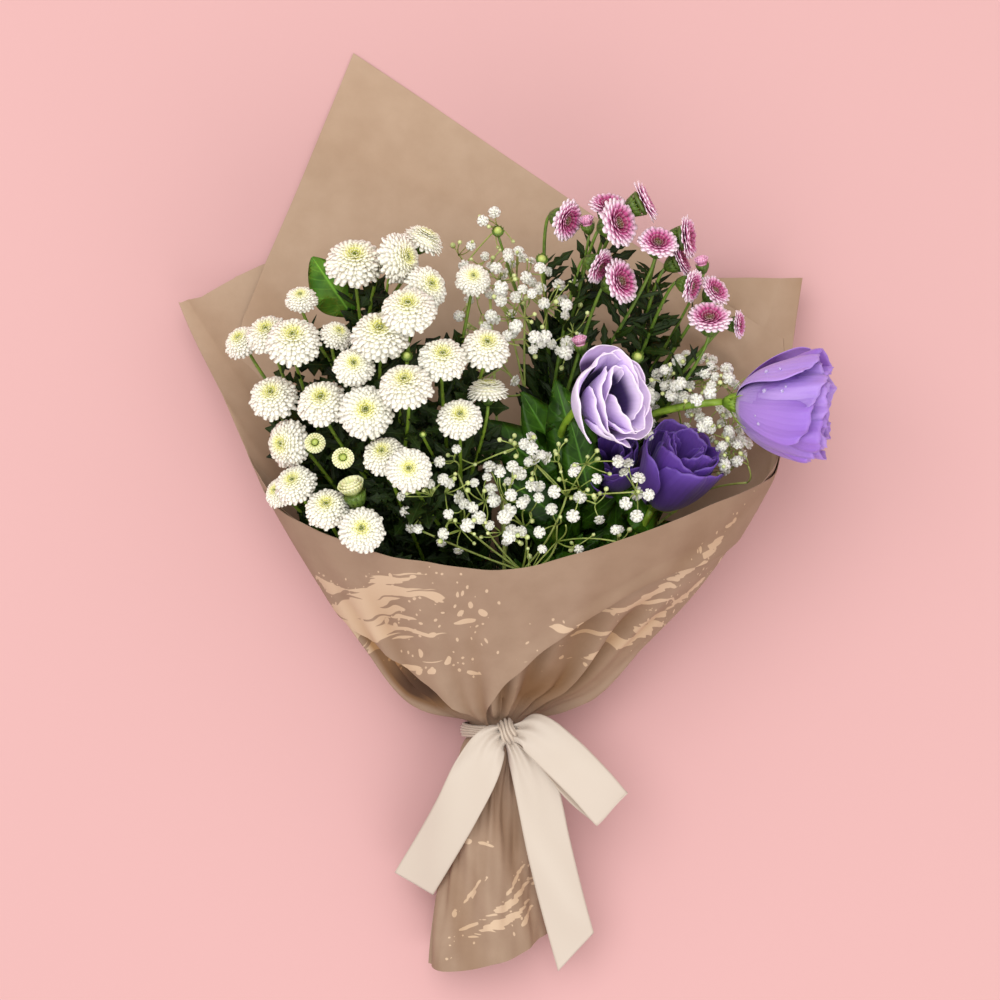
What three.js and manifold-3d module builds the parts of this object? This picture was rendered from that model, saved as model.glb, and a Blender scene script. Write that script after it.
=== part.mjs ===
// A mixed flower bouquet in a paper wrap, tied with a satin ribbon, lying on its back.
// Millimetres. +Z is up, +Y runs from the cut stems to the flower heads, and the origin is the middle
// of the bounding box at the surface that the bouquet lies on.
import * as THREE from "three";
import { mergeVertices } from "three/addons/utils/BufferGeometryUtils.js";
import Module from "manifold-3d";

const wasm = await Module();
wasm.setup();

// ---------------------------------------------------------------- driving dimensions
const RIBBON_WIDTH = 25;
const RIBBON_PIXELS = 45.5; // the same ribbon, measured across in the picture
const MM_PER_PIXEL = RIBBON_WIDTH / RIBBON_PIXELS;
const PICTURE_CENTRE = [498, 512]; // the pixel over the origin
const CAMERA_HEIGHT = 1900;
const MID_HEIGHT = 60; // MM_PER_PIXEL holds at this height above the surface

const NECK_Y = -120; // where the ribbon ties the wrap
const NECK_Z = 30;
const PAPER = 0.8;
const PAPER_GAP = 3.4; // between the two sheets
const SEAT_GAP = 0.35; // between pieces that touch on the real bouquet
const RIM_Y = -28; // lowest point of the front sheet's rim
const RIM_Z = 138;
const PEAK = [-82, 260]; // the back sheet's corner
const STEM_PITCH = 4.6; // spacing of the stems in the bundle
const STEM_RADIUS = 2.1;
const STEM_END_Y = -226;

// ---------------------------------------------------------------- small helpers
const V = (x, y, z) => new THREE.Vector3(x, y, z);
const mix = THREE.MathUtils.lerp;
const radians = THREE.MathUtils.degToRad;
const clamp01 = (t) => Math.min(1, Math.max(0, t));
const smooth = (a, b, x) => THREE.MathUtils.smoothstep(x, a, b);

// A repeatable run of numbers from 0 to 1.
function dice(seed) {
  let state = seed;
  return () => {
    state = (state * 1664525 + 1013904223) % 4294967296;
    return state / 4294967296;
  };
}

// A smooth function through [x, value, value...] knots: a cubic between each pair, with the slope
// at a knot taken from its neighbours.
function curveThrough(knots) {
  const slope = knots.map((k, i) => {
    const a = knots[Math.max(0, i - 1)];
    const b = knots[Math.min(knots.length - 1, i + 1)];
    return k.map((_, c) => (c ? (b[c] - a[c]) / (b[0] - a[0]) : 0));
  });
  return (x) => {
    let i = 0;
    while (i < knots.length - 2 && x > knots[i + 1][0]) i++;
    const [a, b] = [knots[i], knots[i + 1]];
    const h = b[0] - a[0];
    const t = clamp01((x - a[0]) / h);
    const values = a.slice(1).map((_, k) => {
      const c = k + 1;
      const [u, w] = [(1 + 2 * t) * (1 - t) ** 2, t * t * (3 - 2 * t)];
      const [p, q] = [t * (1 - t) ** 2 * h, t * t * (t - 1) * h];
      return u * a[c] + w * b[c] + p * slope[i][c] + q * slope[i + 1][c];
    });
    return values.length === 1 ? values[0] : values;
  };
}

// The point at height z that the picture shows at a pixel.
function seen(px, py, z) {
  const scale = MM_PER_PIXEL * (1 - (z - MID_HEIGHT) / (CAMERA_HEIGHT - MID_HEIGHT));
  return V((px - PICTURE_CENTRE[0]) * scale, (PICTURE_CENTRE[1] - py) * scale, z);
}

// A closed body through rings of equally many points. Open ends are capped by zipping the ring shut,
// and a closed loft joins its last ring to its first. Both faces of a thin blade are split alike.
function loft(rings, closed = false) {
  const [m, n] = [rings.length, rings[0].length];
  const index = [];
  const quad = (a, b, c, d, flip) =>
    index.push(...(flip ? [a, b, d, b, c, d] : [a, b, c, a, c, d]));
  for (let i = 0; i < (closed ? m : m - 1); i++)
    for (let j = 0; j < n; j++) {
      const [k, next] = [(j + 1) % n, (i + 1) % m];
      const flip = closed ? i >= m / 2 : j >= n / 2;
      quad(i * n + j, i * n + k, next * n + k, next * n + j, flip);
    }
  for (let j = 0; !closed && j < n / 2 - 1; j++) {
    const [k, far] = [n - 1 - j, (m - 1) * n];
    const tip = j + 1 === k - 1; // an odd ring ends in one triangle
    if (tip) index.push(j + 1, j, k, far + j, far + j + 1, far + k);
    else {
      quad(j + 1, j, k, k - 1);
      quad(far + j, far + j + 1, far + k - 1, far + k);
    }
  }
  const geometry = new THREE.BufferGeometry();
  const position = rings.flat().flatMap((p) => [p.x, p.y, p.z]);
  geometry.setAttribute("position", new THREE.Float32BufferAttribute(position, 3));
  geometry.setIndex(index);
  return outward(geometry);
}

// The same geometry with its faces pointing out.
function outward(geometry) {
  const p = geometry.getAttribute("position");
  const index = Array.from(geometry.index.array);
  const [a, b, c] = [V(), V(), V()];
  let volume = 0;
  for (let i = 0; i < index.length; i += 3) {
    a.fromBufferAttribute(p, index[i]);
    b.fromBufferAttribute(p, index[i + 1]);
    c.fromBufferAttribute(p, index[i + 2]);
    volume += a.dot(b.cross(c));
  }
  if (volume < 0)
    for (let i = 0; i < index.length; i += 3)
      [index[i + 1], index[i + 2]] = [index[i + 2], index[i + 1]];
  geometry.setIndex(index);
  return geometry;
}

function solidOf(geometry) {
  const bare = new THREE.BufferGeometry();
  bare.setAttribute("position", geometry.getAttribute("position"));
  bare.setIndex(geometry.index);
  const merged = mergeVertices(bare, 1e-4);
  return new wasm.Manifold(
    new wasm.Mesh({
      numProp: 3,
      vertProperties: new Float32Array(merged.attributes.position.array),
      triVerts: new Uint32Array(merged.index.array),
    }),
  );
}

// All the closed geometries as one body. A scrap that touches nothing is dropped.
function fuse(geometries) {
  const joined = wasm.Manifold.union(geometries.map(solidOf));
  const bodies = joined.decompose().sort((a, b) => b.volume() - a.volume());
  const mesh = bodies[0].getMesh();
  const geometry = new THREE.BufferGeometry();
  const position = new THREE.Float32BufferAttribute(mesh.vertProperties, 3);
  geometry.setAttribute("position", position);
  geometry.setIndex(new THREE.BufferAttribute(mesh.triVerts, 1));
  return geometry;
}

// ---------------------------------------------------------------- materials
const finish = (color, roughness) =>
  new THREE.MeshStandardMaterial({ color, roughness, metalness: 0 });
const MATERIALS = {
  paper: finish(0xb8977b, 0.75),
  satin: finish(0xf0dfcd, 0.45),
  twine: finish(0xc9a777, 0.9),
  white: finish(0xf3efd8, 0.7),
  pink: finish(0xd877ac, 0.7),
  lilac: finish(0xb49ae0, 0.6),
  violet: finish(0x5b3a9c, 0.6),
  green: finish(0x4c7a2c, 0.6),
  leaf: finish(0x2f5a1c, 0.55),
  breath: finish(0xe9edd9, 0.7),
};

const bouquet = new THREE.Group();
function addMesh(name, geometry, material) {
  const mesh = new THREE.Mesh(geometry, material);
  mesh.name = name;
  bouquet.add(mesh);
}

// ---------------------------------------------------------------- the wrap's form
// Across the bouquet at each y the paper follows a section: angle 0 is the front (up), 90 the right
// side and 180 the back, which lies flat on the surface.
const halfLeft = curveThrough([
  [-255, 33], [-200, 29], [-150, 23], [-126, 16.8], [-116, 16.8], [-110, 31], [-101, 49], [-76, 71],
  [-49, 92], [-20, 110], [12, 127], [64, 152], [118, 180], [260, 240],
]);
const halfRight = curveThrough([
  [-255, 33], [-200, 29], [-150, 23], [-126, 16.8], [-116, 16.8], [-110, 31], [-101, 52], [-76, 79],
  [-49, 105], [-20, 127], [6, 142], [26, 152], [82, 162], [131, 172], [260, 200],
]);
const middleX = curveThrough([[-255, -5], [-150, -2], [-120, 0], [260, 0]]);
const sideZ = curveThrough([
  [-255, 19], [-150, 25], [-126, NECK_Z], [-116, NECK_Z], [-80, 44], [-28, 58], [12, 68], [60, 48],
  [120, 26], [170, 16], [260, 9],
]);
const frontZ = curveThrough([
  [-255, 41], [-150, 45], [-126, 46.8], [-116, 46.8], [-106, 62], [-60, 106], [RIM_Y, RIM_Z],
  [10, 166], [260, 200],
]);
const backZ = curveThrough([
  [-255, 0], [-170, 3], [-126, 13.2], [-116, 13.2], [-100, 5], [-84, 0], [260, 0],
]);
const FLAT_SHARE = 0.3; // the part of the half width that lies flat on the surface
const PLEATS = 9;

function sectionPoint(angle, y) {
  const [s, c] = [Math.sin(angle), Math.cos(angle)];
  const half = s < 0 ? halfLeft(y) : halfRight(y);
  const side = sideZ(y);
  const round = side + (c > 0 ? frontZ(y) - side : side - backZ(y)) * c;
  const dish = side * clamp01((Math.abs(s) - FLAT_SHARE) / (1 - FLAT_SHARE)) ** 2;
  const z = c > 0 ? round : mix(round, dish, smooth(-114, -86, y));
  const above = y - NECK_Y;
  const depth = above > 0 ? 0.1 * Math.exp(-above / 16) : 0.12 * Math.exp(above / 45);
  const pleat = 1 + depth * smooth(4, 18, Math.abs(above)) * Math.cos(PLEATS * angle);
  return V(middleX(y) + half * s * pleat, y, side + (z - side) * pleat);
}

// The same point moved out from the paper's surface.
function paperPoint(angle, y, out) {
  const step = 0.01;
  const along = sectionPoint(angle, y + step).sub(sectionPoint(angle, y - step));
  const round = sectionPoint(angle + step, y).sub(sectionPoint(angle - step, y));
  const normal = along.cross(round).normalize();
  const point = sectionPoint(angle, y).addScaledVector(normal, -out);
  return point.setZ(Math.max(point.z, out < 0 ? PAPER : 0));
}

// The angle at which the back of the section passes under (x, y).
function backAngle(x, y) {
  const half = x < 0 ? halfLeft(y) : halfRight(y);
  return Math.PI - Math.asin(Math.max(-1, Math.min(1, (x - middleX(y)) / half)));
}

// ---------------------------------------------------------------- back sheet
// Its top edge, once round: hidden under the front sheet, then two straight edges to the peak.
const BACK_EDGE_FRONT = [
  [-85, 20], [-72, 2], [-56, -10], [-40, -22], [-22, -36], [-6, -44], [10, -42], [26, -28],
  [42, -14], [58, 0], [73, 12], [86, 34],
];
const BACK_EDGE_RIGHT = [
  [159, 97], [146, 105], [124, 120], [84, 147], [44, 175], [4, 202], [-40, 232],
];
const BACK_EDGE_LEFT = [PEAK, [-97, 221], [-112, 182], [-128, 142], [-141, 108], [-150, 70]];
const BACK_ROWS = 6;
const SKIRT_ROWS = 4;

function backSheet() {
  const front = BACK_EDGE_FRONT.map(([degrees, y]) => [radians(degrees), y]);
  const back = [...BACK_EDGE_RIGHT, ...BACK_EDGE_LEFT].map(([x, y]) => [backAngle(x, y), y]);
  const columns = [...front, ...back];
  const hem = (angle) => -244 + 9 * Math.sin(angle);
  const rowOf = (i) =>
    columns.map(([angle, top]) => {
      if (i < SKIRT_ROWS) return [angle, mix(hem(angle), NECK_Y, i / SKIRT_ROWS)];
      const t = (i - SKIRT_ROWS) / BACK_ROWS;
      return [angle, mix(NECK_Y, top, t ** 1.6)];
    });
  const rows = Array.from({ length: SKIRT_ROWS + BACK_ROWS + 1 }, (_, i) => rowOf(i));
  const face = (out) => rows.map((row) => row.map(([angle, y]) => paperPoint(angle, y, out)));
  return loft([...face(0), ...face(-PAPER).reverse()], true);
}

// ---------------------------------------------------------------- front sheet
// [angle, y] along its rim, and along its other edge at the same places, from the left corner to the
// right one. The other edge runs in behind the back sheet, down to a corner at the knot, and back.
const FRONT_RIM = [
  [-97, 118], [-95, 98], [-93, 58], [-88, 14], [-70, 2], [-52, -8], [-29, -21], [0, RIM_Y],
  [20, -19], [37, -7], [54, 6], [71, 16], [86, 26], [93, 60], [97, 95], [97, 131],
];
const FRONT_HEM = [
  [-98, 117], [-131, 136], [-136, 80], [-128, 15], [-104, -34], [-70, -68], [-38, -95], [-8, -113],
  [14, -103], [34, -86], [58, -64], [84, -38], [112, 0], [134, 50], [134, 131], [99, 131],
];
const FRONT_COLUMNS = 20;
const FRONT_ROWS = 4;

function frontSheet() {
  const along = (list) => curveThrough(list.map(([degrees, y], i) => [i, radians(degrees), y]));
  const [rim, hem] = [along(FRONT_RIM), along(FRONT_HEM)];
  const near = PAPER_GAP;
  const rings = Array.from({ length: FRONT_ROWS + 1 }, (_, r) => {
    const at = (k, out) => {
      const u = (k / FRONT_COLUMNS) * (FRONT_RIM.length - 1);
      const [[a0, y0], [a1, y1]] = [hem(u), rim(u)];
      const v = r / FRONT_ROWS;
      return paperPoint(mix(a0, a1, v), mix(y0, y1, v), out);
    };
    const ks = Array.from({ length: FRONT_COLUMNS + 1 }, (_, k) => k);
    return [...ks.map((k) => at(k, near + PAPER)), ...ks.reverse().map((k) => at(k, near))];
  });
  return loft(rings);
}

addMesh("wrap_back_sheet", backSheet(), MATERIALS.paper);
addMesh("wrap_front_sheet", frontSheet(), MATERIALS.paper);

// ---------------------------------------------------------------- ribbon and the tie round the stems
// A band round the bouquet's own axis at the neck: a rectangle turned once round it.
function band(inner, outer, y0, y1, sides) {
  const circle = (radius, y) =>
    Array.from({ length: sides }, (_, i) => {
      const a = (i / sides) * 2 * Math.PI;
      return V(radius * Math.sin(a), y, NECK_Z + radius * Math.cos(a));
    });
  const corners = [[outer, y0], [outer, y1], [inner, y1], [inner, y0]];
  return loft(corners.map(([radius, y]) => circle(radius, y)), true);
}

// A flat strip through stations [x, y, z, width, tilt]: tilt turns its width out of the horizontal.
const STRIP = 0.8;
function strip(stations, cut = 0) {
  const path = new THREE.CatmullRomCurve3(stations.map(([x, y, z]) => V(x, y, z)));
  const across = curveThrough(stations.map((s, i) => [i, s[3], radians(s[4])]));
  const steps = (stations.length - 1) * 2;
  const rings = [];
  for (let i = 0; i <= steps; i++) {
    const t = i / steps;
    const [point, tangent] = [path.getPoint(t), path.getTangent(t)];
    const [width, tilt] = across(t * (stations.length - 1));
    const flat = V(tangent.y, -tangent.x, 0).normalize();
    const side = flat.multiplyScalar(Math.cos(tilt)).add(V(0, 0, Math.sin(tilt)));
    side.addScaledVector(tangent, -side.dot(tangent)).normalize();
    const up = side.clone().cross(tangent).normalize().multiplyScalar(STRIP / 2);
    const slant = tangent.clone().multiplyScalar(i === steps ? cut : 0);
    const right = point.clone().addScaledVector(side, width / 2).add(slant);
    const left = point.clone().addScaledVector(side, -width / 2).sub(slant);
    rings.push([left.clone().add(up), right.clone().add(up), right.sub(up), left.sub(up)]);
  }
  return loft(rings);
}

const BAND_INNER = 18.2;
const BAND_OUTER = 19.4;
const BAND_Y = [-125, -118.5];
const KNOT = [5.5, -121, NECK_Z + BAND_OUTER + 2.5];
const LEFT_TAIL = [
  [4, -121, 53, 10, 0], [-6, -124, 58, 18, 0], [-18, -137, 58, 25, -4], [-30, -162, 51, 25, -8],
  [-40, -187, 40, 25, -8], [-47.5, -208, 25, 25, -5],
];
const RIGHT_TAIL = [
  [7, -124, 52, 9, 0], [14, -134, 53.5, 18, 4], [21, -152, 53, 24, 6], [28, -185, 49, 25, 5],
  [36, -218, 39, 25, 3], [43.5, -246, 27, 25, 0],
];
const LOOP_TOP = [
  [8, -121, 54, 10, 0], [20, -120, 61, 19, 0], [35, -131, 64, 25, 0], [51, -149, 60, 25, 0],
  [62, -163, 53, 25, 0],
];
const LOOP_BACK = [
  [62, -163, 53, 25, 0], [59, -160.5, 50, 25, 0], [45, -149, 50, 24, 0], [24, -131, 56, 14, 0],
  [9, -122, 53, 8, 0],
];

function knot() {
  const bead = new THREE.SphereGeometry(6.4, 8, 6);
  return bead.scale(1, 1.1, 0.75).translate(...KNOT);
}

addMesh(
  "ribbon",
  fuse([
    band(BAND_INNER, BAND_OUTER, ...BAND_Y, 16), knot(),
    strip(LEFT_TAIL), strip(RIGHT_TAIL, 9), strip(LOOP_TOP), strip(LOOP_BACK),
  ]),
  MATERIALS.satin,
);
const TIE_INNER = 2 * STEM_PITCH + STEM_RADIUS + 0.7; // round a bundle two stems out from its middle
const TIE_THICKNESS = 1.6;
addMesh("stem_tie", band(TIE_INNER, TIE_INNER + TIE_THICKNESS, -124, -119, 12), MATERIALS.twine);

// ---------------------------------------------------------------- keeping pieces clear of each other
// Every placed form is also kept as balls, each marked with its node, and later forms bend round them.
const BALL_STEP = 2.5; // along a stem
const CLEARANCE = 0.5;
const balls = [];
function keepBall(node, centre, radius) {
  balls.push({ node, centre: centre.clone(), radius });
}

// The straight-sided route through points, as a curve.
const route = (points) => new THREE.CatmullRomCurve3(points, false, "catmullrom", 0);

// Places for balls along a route.
function ballsAlong(points) {
  return points.slice(1).flatMap((end, i) => {
    const count = Math.ceil(end.distanceTo(points[i]) / BALL_STEP);
    return Array.from({ length: count + 1 }, (_, k) => points[i].clone().lerp(end, k / count));
  });
}

function keepPath(node, points, radius) {
  ballsAlong(points).forEach((p) => keepBall(node, p, radius));
}

// How far a ball reaches into the forms of other nodes; negative when it is clear.
function reach(node, centre, radius) {
  let worst = -Infinity;
  for (const b of balls) {
    if (b.node === node) continue;
    worst = Math.max(worst, radius + b.radius - centre.distanceTo(b.centre));
  }
  return worst;
}

// Height of the paper under a point, and whether a point has paper clear round it.
function floorAt(x, y) {
  const half = x < 0 ? halfLeft(y) : halfRight(y);
  const share = Math.min(1, Math.abs(x - middleX(y)) / half);
  return sideZ(y) * clamp01((share - FLAT_SHARE) / (1 - FLAT_SHARE)) ** 2;
}

function insideWrap(point, margin) {
  const { x, y, z } = point;
  if (z < floorAt(x, y) + PAPER + margin) return false;
  const half = (x < 0 ? halfLeft(y) : halfRight(y)) - margin;
  if (Math.abs(x - middleX(y)) > half) return false;
  const share = (x - middleX(y)) / half;
  const rimHere = RIM_Y + 40 * share * share;
  if (y > rimHere + margin) return true;
  return z < mix(sideZ(y), frontZ(y), Math.sqrt(1 - share * share)) - PAPER - margin;
}

// Shifts a path's points, except the first ones and the last, until it is clear of other nodes.
const ATTEMPTS = 70;
function bendClear(node, points, radius, fixed = 1) {
  const roll = dice(node.length + Math.round(1000 + points.at(-1).x * 10));
  let [best, least] = [points, Infinity];
  for (let attempt = 0; attempt < ATTEMPTS && least > -CLEARANCE; attempt++) {
    const trial = points.map((p, i) => {
      if (i < fixed || i === points.length - 1) return p;
      const shift = V(roll() - 0.5, roll() - 0.5, roll() - 0.5).multiplyScalar(attempt * 0.7);
      const q = p.clone().add(shift);
      return q.setZ(Math.max(q.z, floorAt(q.x, q.y) + PAPER + radius + 1.5));
    });
    const worst = Math.max(...ballsAlong(trial).map((q) => reach(node, q, radius)));
    if (worst < least) [best, least] = [trial, worst];
  }
  return best;
}

// ---------------------------------------------------------------- stems and leaves
// A closed tube through points, with its own radius at each one.
function sweep(points, radii, sides) {
  let normal = squareTo(points[1].clone().sub(points[0]).normalize())[0];
  const rings = points.map((p, i) => {
    const before = points[Math.max(0, i - 1)];
    const after = points[Math.min(points.length - 1, i + 1)];
    const tangent = after.clone().sub(before).normalize();
    normal = normal.clone().addScaledVector(tangent, -normal.dot(tangent)).normalize();
    const binormal = tangent.cross(normal);
    return Array.from({ length: sides }, (_, k) => {
      const a = (k / sides) * 2 * Math.PI;
      return p
        .clone()
        .addScaledVector(normal, radii[i] * Math.cos(a))
        .addScaledVector(binormal, radii[i] * Math.sin(a));
    });
  });
  return loft(rings);
}

// Two directions square to an axis.
function squareTo(axis) {
  const side = Math.abs(axis.z) < 0.9 ? V(0, 0, 1).cross(axis) : V(1, 0, 0).cross(axis);
  side.normalize();
  return [side, axis.clone().cross(side).normalize()];
}

// A ring of points round an axis, where each point's radius and rise come from a rule.
function ringRound(origin, axis, count, rule) {
  const [u, v] = squareTo(axis);
  return Array.from({ length: count }, (_, i) => {
    const [radius, rise, turn = 0] = rule(i);
    const a = ((i + turn) / count) * 2 * Math.PI;
    return origin
      .clone()
      .addScaledVector(u, radius * Math.cos(a))
      .addScaledVector(v, radius * Math.sin(a))
      .addScaledVector(axis, rise);
  });
}

// A leaf from its base along a direction: widths are shares of its length, at even steps to the tip,
// so wide and narrow ones in turn make lobes. It arches down and folds up along the midrib.
const LOBED = [0.05, 0.31, 0.15, 0.35, 0.14, 0.03];
const OVAL = [0.06, 0.26, 0.33, 0.2, 0.03];
const ROUND = [0.1, 0.55, 0.6, 0.35, 0.04];
const LEAF_DROOP = 0.18;
function leafSpine(base, direction, length) {
  const along = direction.clone().normalize();
  const side = V(along.y, -along.x, 0).normalize();
  const up = side.clone().cross(along).normalize();
  const at = (t) =>
    base
      .clone()
      .addScaledVector(along, length * t)
      .addScaledVector(up, -length * LEAF_DROOP * t * t);
  return { side, up, at };
}

const LEAF_THICK = 0.9;
const LEAF_FOLD = 0.3; // rise of each half from the midrib
function leaf(base, direction, length, widths) {
  const { side, up, at } = leafSpine(base, direction, length);
  const rings = widths.map((width, i) => {
    const half = (width * length) / 2;
    const corner = (across, face) =>
      at(i / (widths.length - 1))
        .addScaledVector(side, across * half)
        .addScaledVector(up, LEAF_FOLD * half + (face * LEAF_THICK) / 2);
    return [corner(-1, 1), corner(1, 1), corner(1, -1), corner(-1, -1)];
  });
  return loft(rings);
}

// The same leaf as balls.
function leafBalls(base, direction, length, widths) {
  const { at } = leafSpine(base, direction, length);
  const widest = Math.max(...widths) * length;
  const shares = [[0.14, 0.26], [0.3, 0.48], [0.5, 0.5], [0.7, 0.46], [0.9, 0.22], [1, 0.1]];
  return shares.map(([t, share]) => [at(t), widest * share]);
}

const LEAF_MARGIN = 7; // between a leaf and the paper
function tryLeaf(plant, base, direction, length, widths) {
  const form = leafBalls(base, direction, length, widths);
  const clear = ([c, r]) => reach(plant.node, c, r) < -CLEARANCE && insideWrap(c, LEAF_MARGIN);
  if (!form.every(clear)) return false;
  form.forEach(([c, r]) => keepBall(plant.node, c, r));
  plant.forms.push(leaf(base, direction, length, widths));
  return true;
}

// Leaves in turn round a stem, each turned until it is clear of everything else.
function growLeaves(plant, { count, length, widths, seed }) {
  const roll = dice(seed);
  for (let i = 0; i < count; i++) {
    const t = mix(0.62, 0.96, (i + 0.5) / count);
    const [base, stem] = [plant.stem.getPoint(t), plant.stem.getTangent(t)];
    const [u, v] = squareTo(stem);
    for (let attempt = 0; attempt < 16; attempt++) {
      const a = i * 2.4 + attempt * 0.45 + roll();
      const size = length * (0.85 + 0.3 * roll()) * (attempt < 8 ? 1 : 0.75);
      const direction = stem
        .clone()
        .multiplyScalar(0.75)
        .addScaledVector(u, Math.cos(a))
        .addScaledVector(v, Math.sin(a));
      direction.z = Math.abs(direction.z) * 0.6 + 0.12;
      if (tryLeaf(plant, base, direction, size, widths)) break;
    }
  }
}

// A leaf that the picture shows, from the plant's nearest branch at one pixel to its tip at another.
function placeLeaf(plant, [fromX, fromY, tipX, tipY, tipZ, widths]) {
  const own = balls.filter((b) => b.node === plant.node && b.radius < 3);
  const flat = (p) => V(p.x, p.y, 0);
  const aim = flat(seen(fromX, fromY, tipZ));
  const near = (a, b) => (flat(a.centre).distanceTo(aim) < flat(b.centre).distanceTo(aim) ? a : b);
  const base = own.reduce(near).centre;
  for (const lift of [0, -6, 6, -12, 12, -18, 18, -24, -30]) {
    const direction = seen(tipX, tipY, tipZ + lift).sub(base);
    if (tryLeaf(plant, base, direction, direction.length(), widths)) return;
  }
}

// The bundle's slots: a honeycomb across the neck. Each stem runs straight from its cut end through
// its slot, and on to where it forks.
function slot(q, r) {
  return V(STEM_PITCH * (q + r / 2), NECK_Y, NECK_Z + STEM_PITCH * 0.866 * r);
}

function mainStem([q, r], fork) {
  const neck = slot(q, r);
  const low = neck.clone().add(V(0, -20, -1));
  const end = V(neck.x - 3, STEM_END_Y - 3 * ((q + 2 * r) % 3), neck.z - 9);
  const rise = neck.clone().add(V(0, 12, 1));
  const points = [end, low, neck, rise];
  for (const t of [0.33, 0.66, 1]) points.push(rise.clone().lerp(fork, t));
  return points;
}

const plants = [];
const STEM_SIDES = 5;
function startPlant(node, material, { slot: place, fork }, radius) {
  const points = bendClear(node, mainStem(place, seen(...fork)), radius, 4);
  const radii = points.map((_, i) => radius * mix(1, 0.7, i / (points.length - 1)));
  keepPath(node, points, radius);
  const plant = { node, material, stem: route(points), forms: [sweep(points, radii, STEM_SIDES)] };
  plants.push(plant);
  return plant;
}

// ---------------------------------------------------------------- chrysanthemum heads
// Each row: pixel x and y, width in pixels, lean direction in the picture (0 right, 90 up), lean
// from the camera in degrees, and how far it stands in front of (+) or behind (-) its neighbours.
const WHITE_SPRAYS = {
  top: {
    slot: [-1, 0], fork: [352, 345, 70],
    heads: [
      [355, 262, 57, 90, 42, 0], [402, 258, 50, 10, 55, 0], [422, 241, 42, 62, 76, -1],
      [301, 299, 32, 95, 45, 0], [425, 286, 44, 30, 40, -1], [409, 309, 54, 90, 40, 1],
      [335, 335, 34, 60, 48, -1],
    ],
    buds: [[389, 271, 8]],
    leaves: [[350, 312, 312, 262, 92, ROUND]],
  },
  left: {
    slot: [-2, 0], fork: [302, 425, 62],
    heads: [
      [242, 342, 37, 125, 45, -1], [268, 334, 46, 110, 42, -1], [295, 341, 54, 92, 40, 1],
      [273, 397, 48, 110, 35, 0], [288, 447, 48, 180, 42, 0],
    ],
    buds: [[315, 442, 10]],
  },
  middle: {
    slot: [-1, 1], fork: [372, 455, 80],
    heads: [
      [380, 335, 58, 90, 42, 0], [354, 366, 40, 90, 25, 0], [322, 402, 50, 100, 35, 0],
      [366, 411, 54, 90, 12, 0], [407, 385, 52, 100, 42, 1], [384, 455, 42, 110, 35, -1],
    ],
    buds: [[407, 354, 10], [343, 457, 10]],
  },
  right: {
    slot: [0, 0], fork: [440, 440, 80],
    heads: [
      [444, 359, 50, 85, 38, 0], [484, 348, 47, 80, 40, 1], [460, 418, 43, 90, 30, 0],
      [409, 469, 44, 90, 10, 1], [473, 279, 34, 80, 30, -1], [488, 391, 40, 90, 76, -2],
    ],
    buds: [[423, 433, 7]],
  },
  low: {
    slot: [-2, 1], fork: [335, 545, 80],
    heads: [
      [298, 483, 42, 120, 40, 0], [279, 492, 31, 150, 45, -1], [327, 507, 44, 100, 35, 0],
      [359, 527, 45, 90, 12, 0],
    ],
    buds: [[353, 490, 12]],
  },
};
const PINK_SPRAYS = {
  crown: {
    slot: [1, 0], fork: [560, 345, 62],
    heads: [
      [565, 225, 34, 20, 48, 0], [609, 208, 40, 80, 55, -1], [646, 207, 36, 60, 80, 0],
      [621, 229, 40, 60, 40, 1], [658, 243, 40, 80, 40, 1], [597, 270, 30, 10, 60, 0],
      [623, 286, 38, 60, 42, 0],
    ],
    buds: [[542, 257, 14], [587, 222, 10]],
  },
  side: {
    slot: [1, -1], fork: [640, 370, 50],
    heads: [
      [685, 243, 36, 40, 70, 0], [682, 265, 30, 60, 72, -1], [690, 290, 28, 20, 58, 0],
      [714, 291, 34, 40, 52, -1], [709, 315, 35, 90, 15, 1], [737, 324, 28, 0, 70, 0],
    ],
    buds: [[702, 262, 10], [638, 355, 12]],
  },
};

// The flowers' dome: how high a head stands over the surface at each place.
function domeHeight(px, py) {
  const p = seen(px, py, 120);
  if (p.x > 20) return 118 - 0.0016 * (p.x - 60) ** 2 - 0.1 * Math.max(0, p.y - 110);
  return 150 - 0.0062 * (p.x + 45) ** 2 - 34 * ((p.y - 45) / 100) ** 2;
}

const heads = [];
function readHeads(prefix, sprays, layerStep) {
  for (const [spray, { heads: rows }] of Object.entries(sprays))
    rows.forEach(([px, py, width, bearing, lean, layer], i) => {
      const z = domeHeight(px, py) + layer * layerStep;
      const [b, l] = [radians(bearing), radians(lean)];
      heads.push({
        name: `${prefix}_head_${spray}_${i + 1}`,
        colour: prefix,
        spray,
        centre: seen(px, py, z),
        radius: (width * MM_PER_PIXEL) / 2,
        axis: V(Math.sin(l) * Math.cos(b), Math.sin(l) * Math.sin(b), Math.cos(l)),
      });
    });
}
readHeads("white", WHITE_SPRAYS, 7);
readHeads("pink", PINK_SPRAYS, 6);

// A head as balls: one in the middle and six under its outer petals.
function headBalls(head) {
  const rim = ringRound(head.centre, head.axis, 6, () => [head.radius * 0.68, 0]);
  return [[head.centre, head.radius * 0.42], ...rim.map((c) => [c, head.radius * 0.36])];
}

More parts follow.
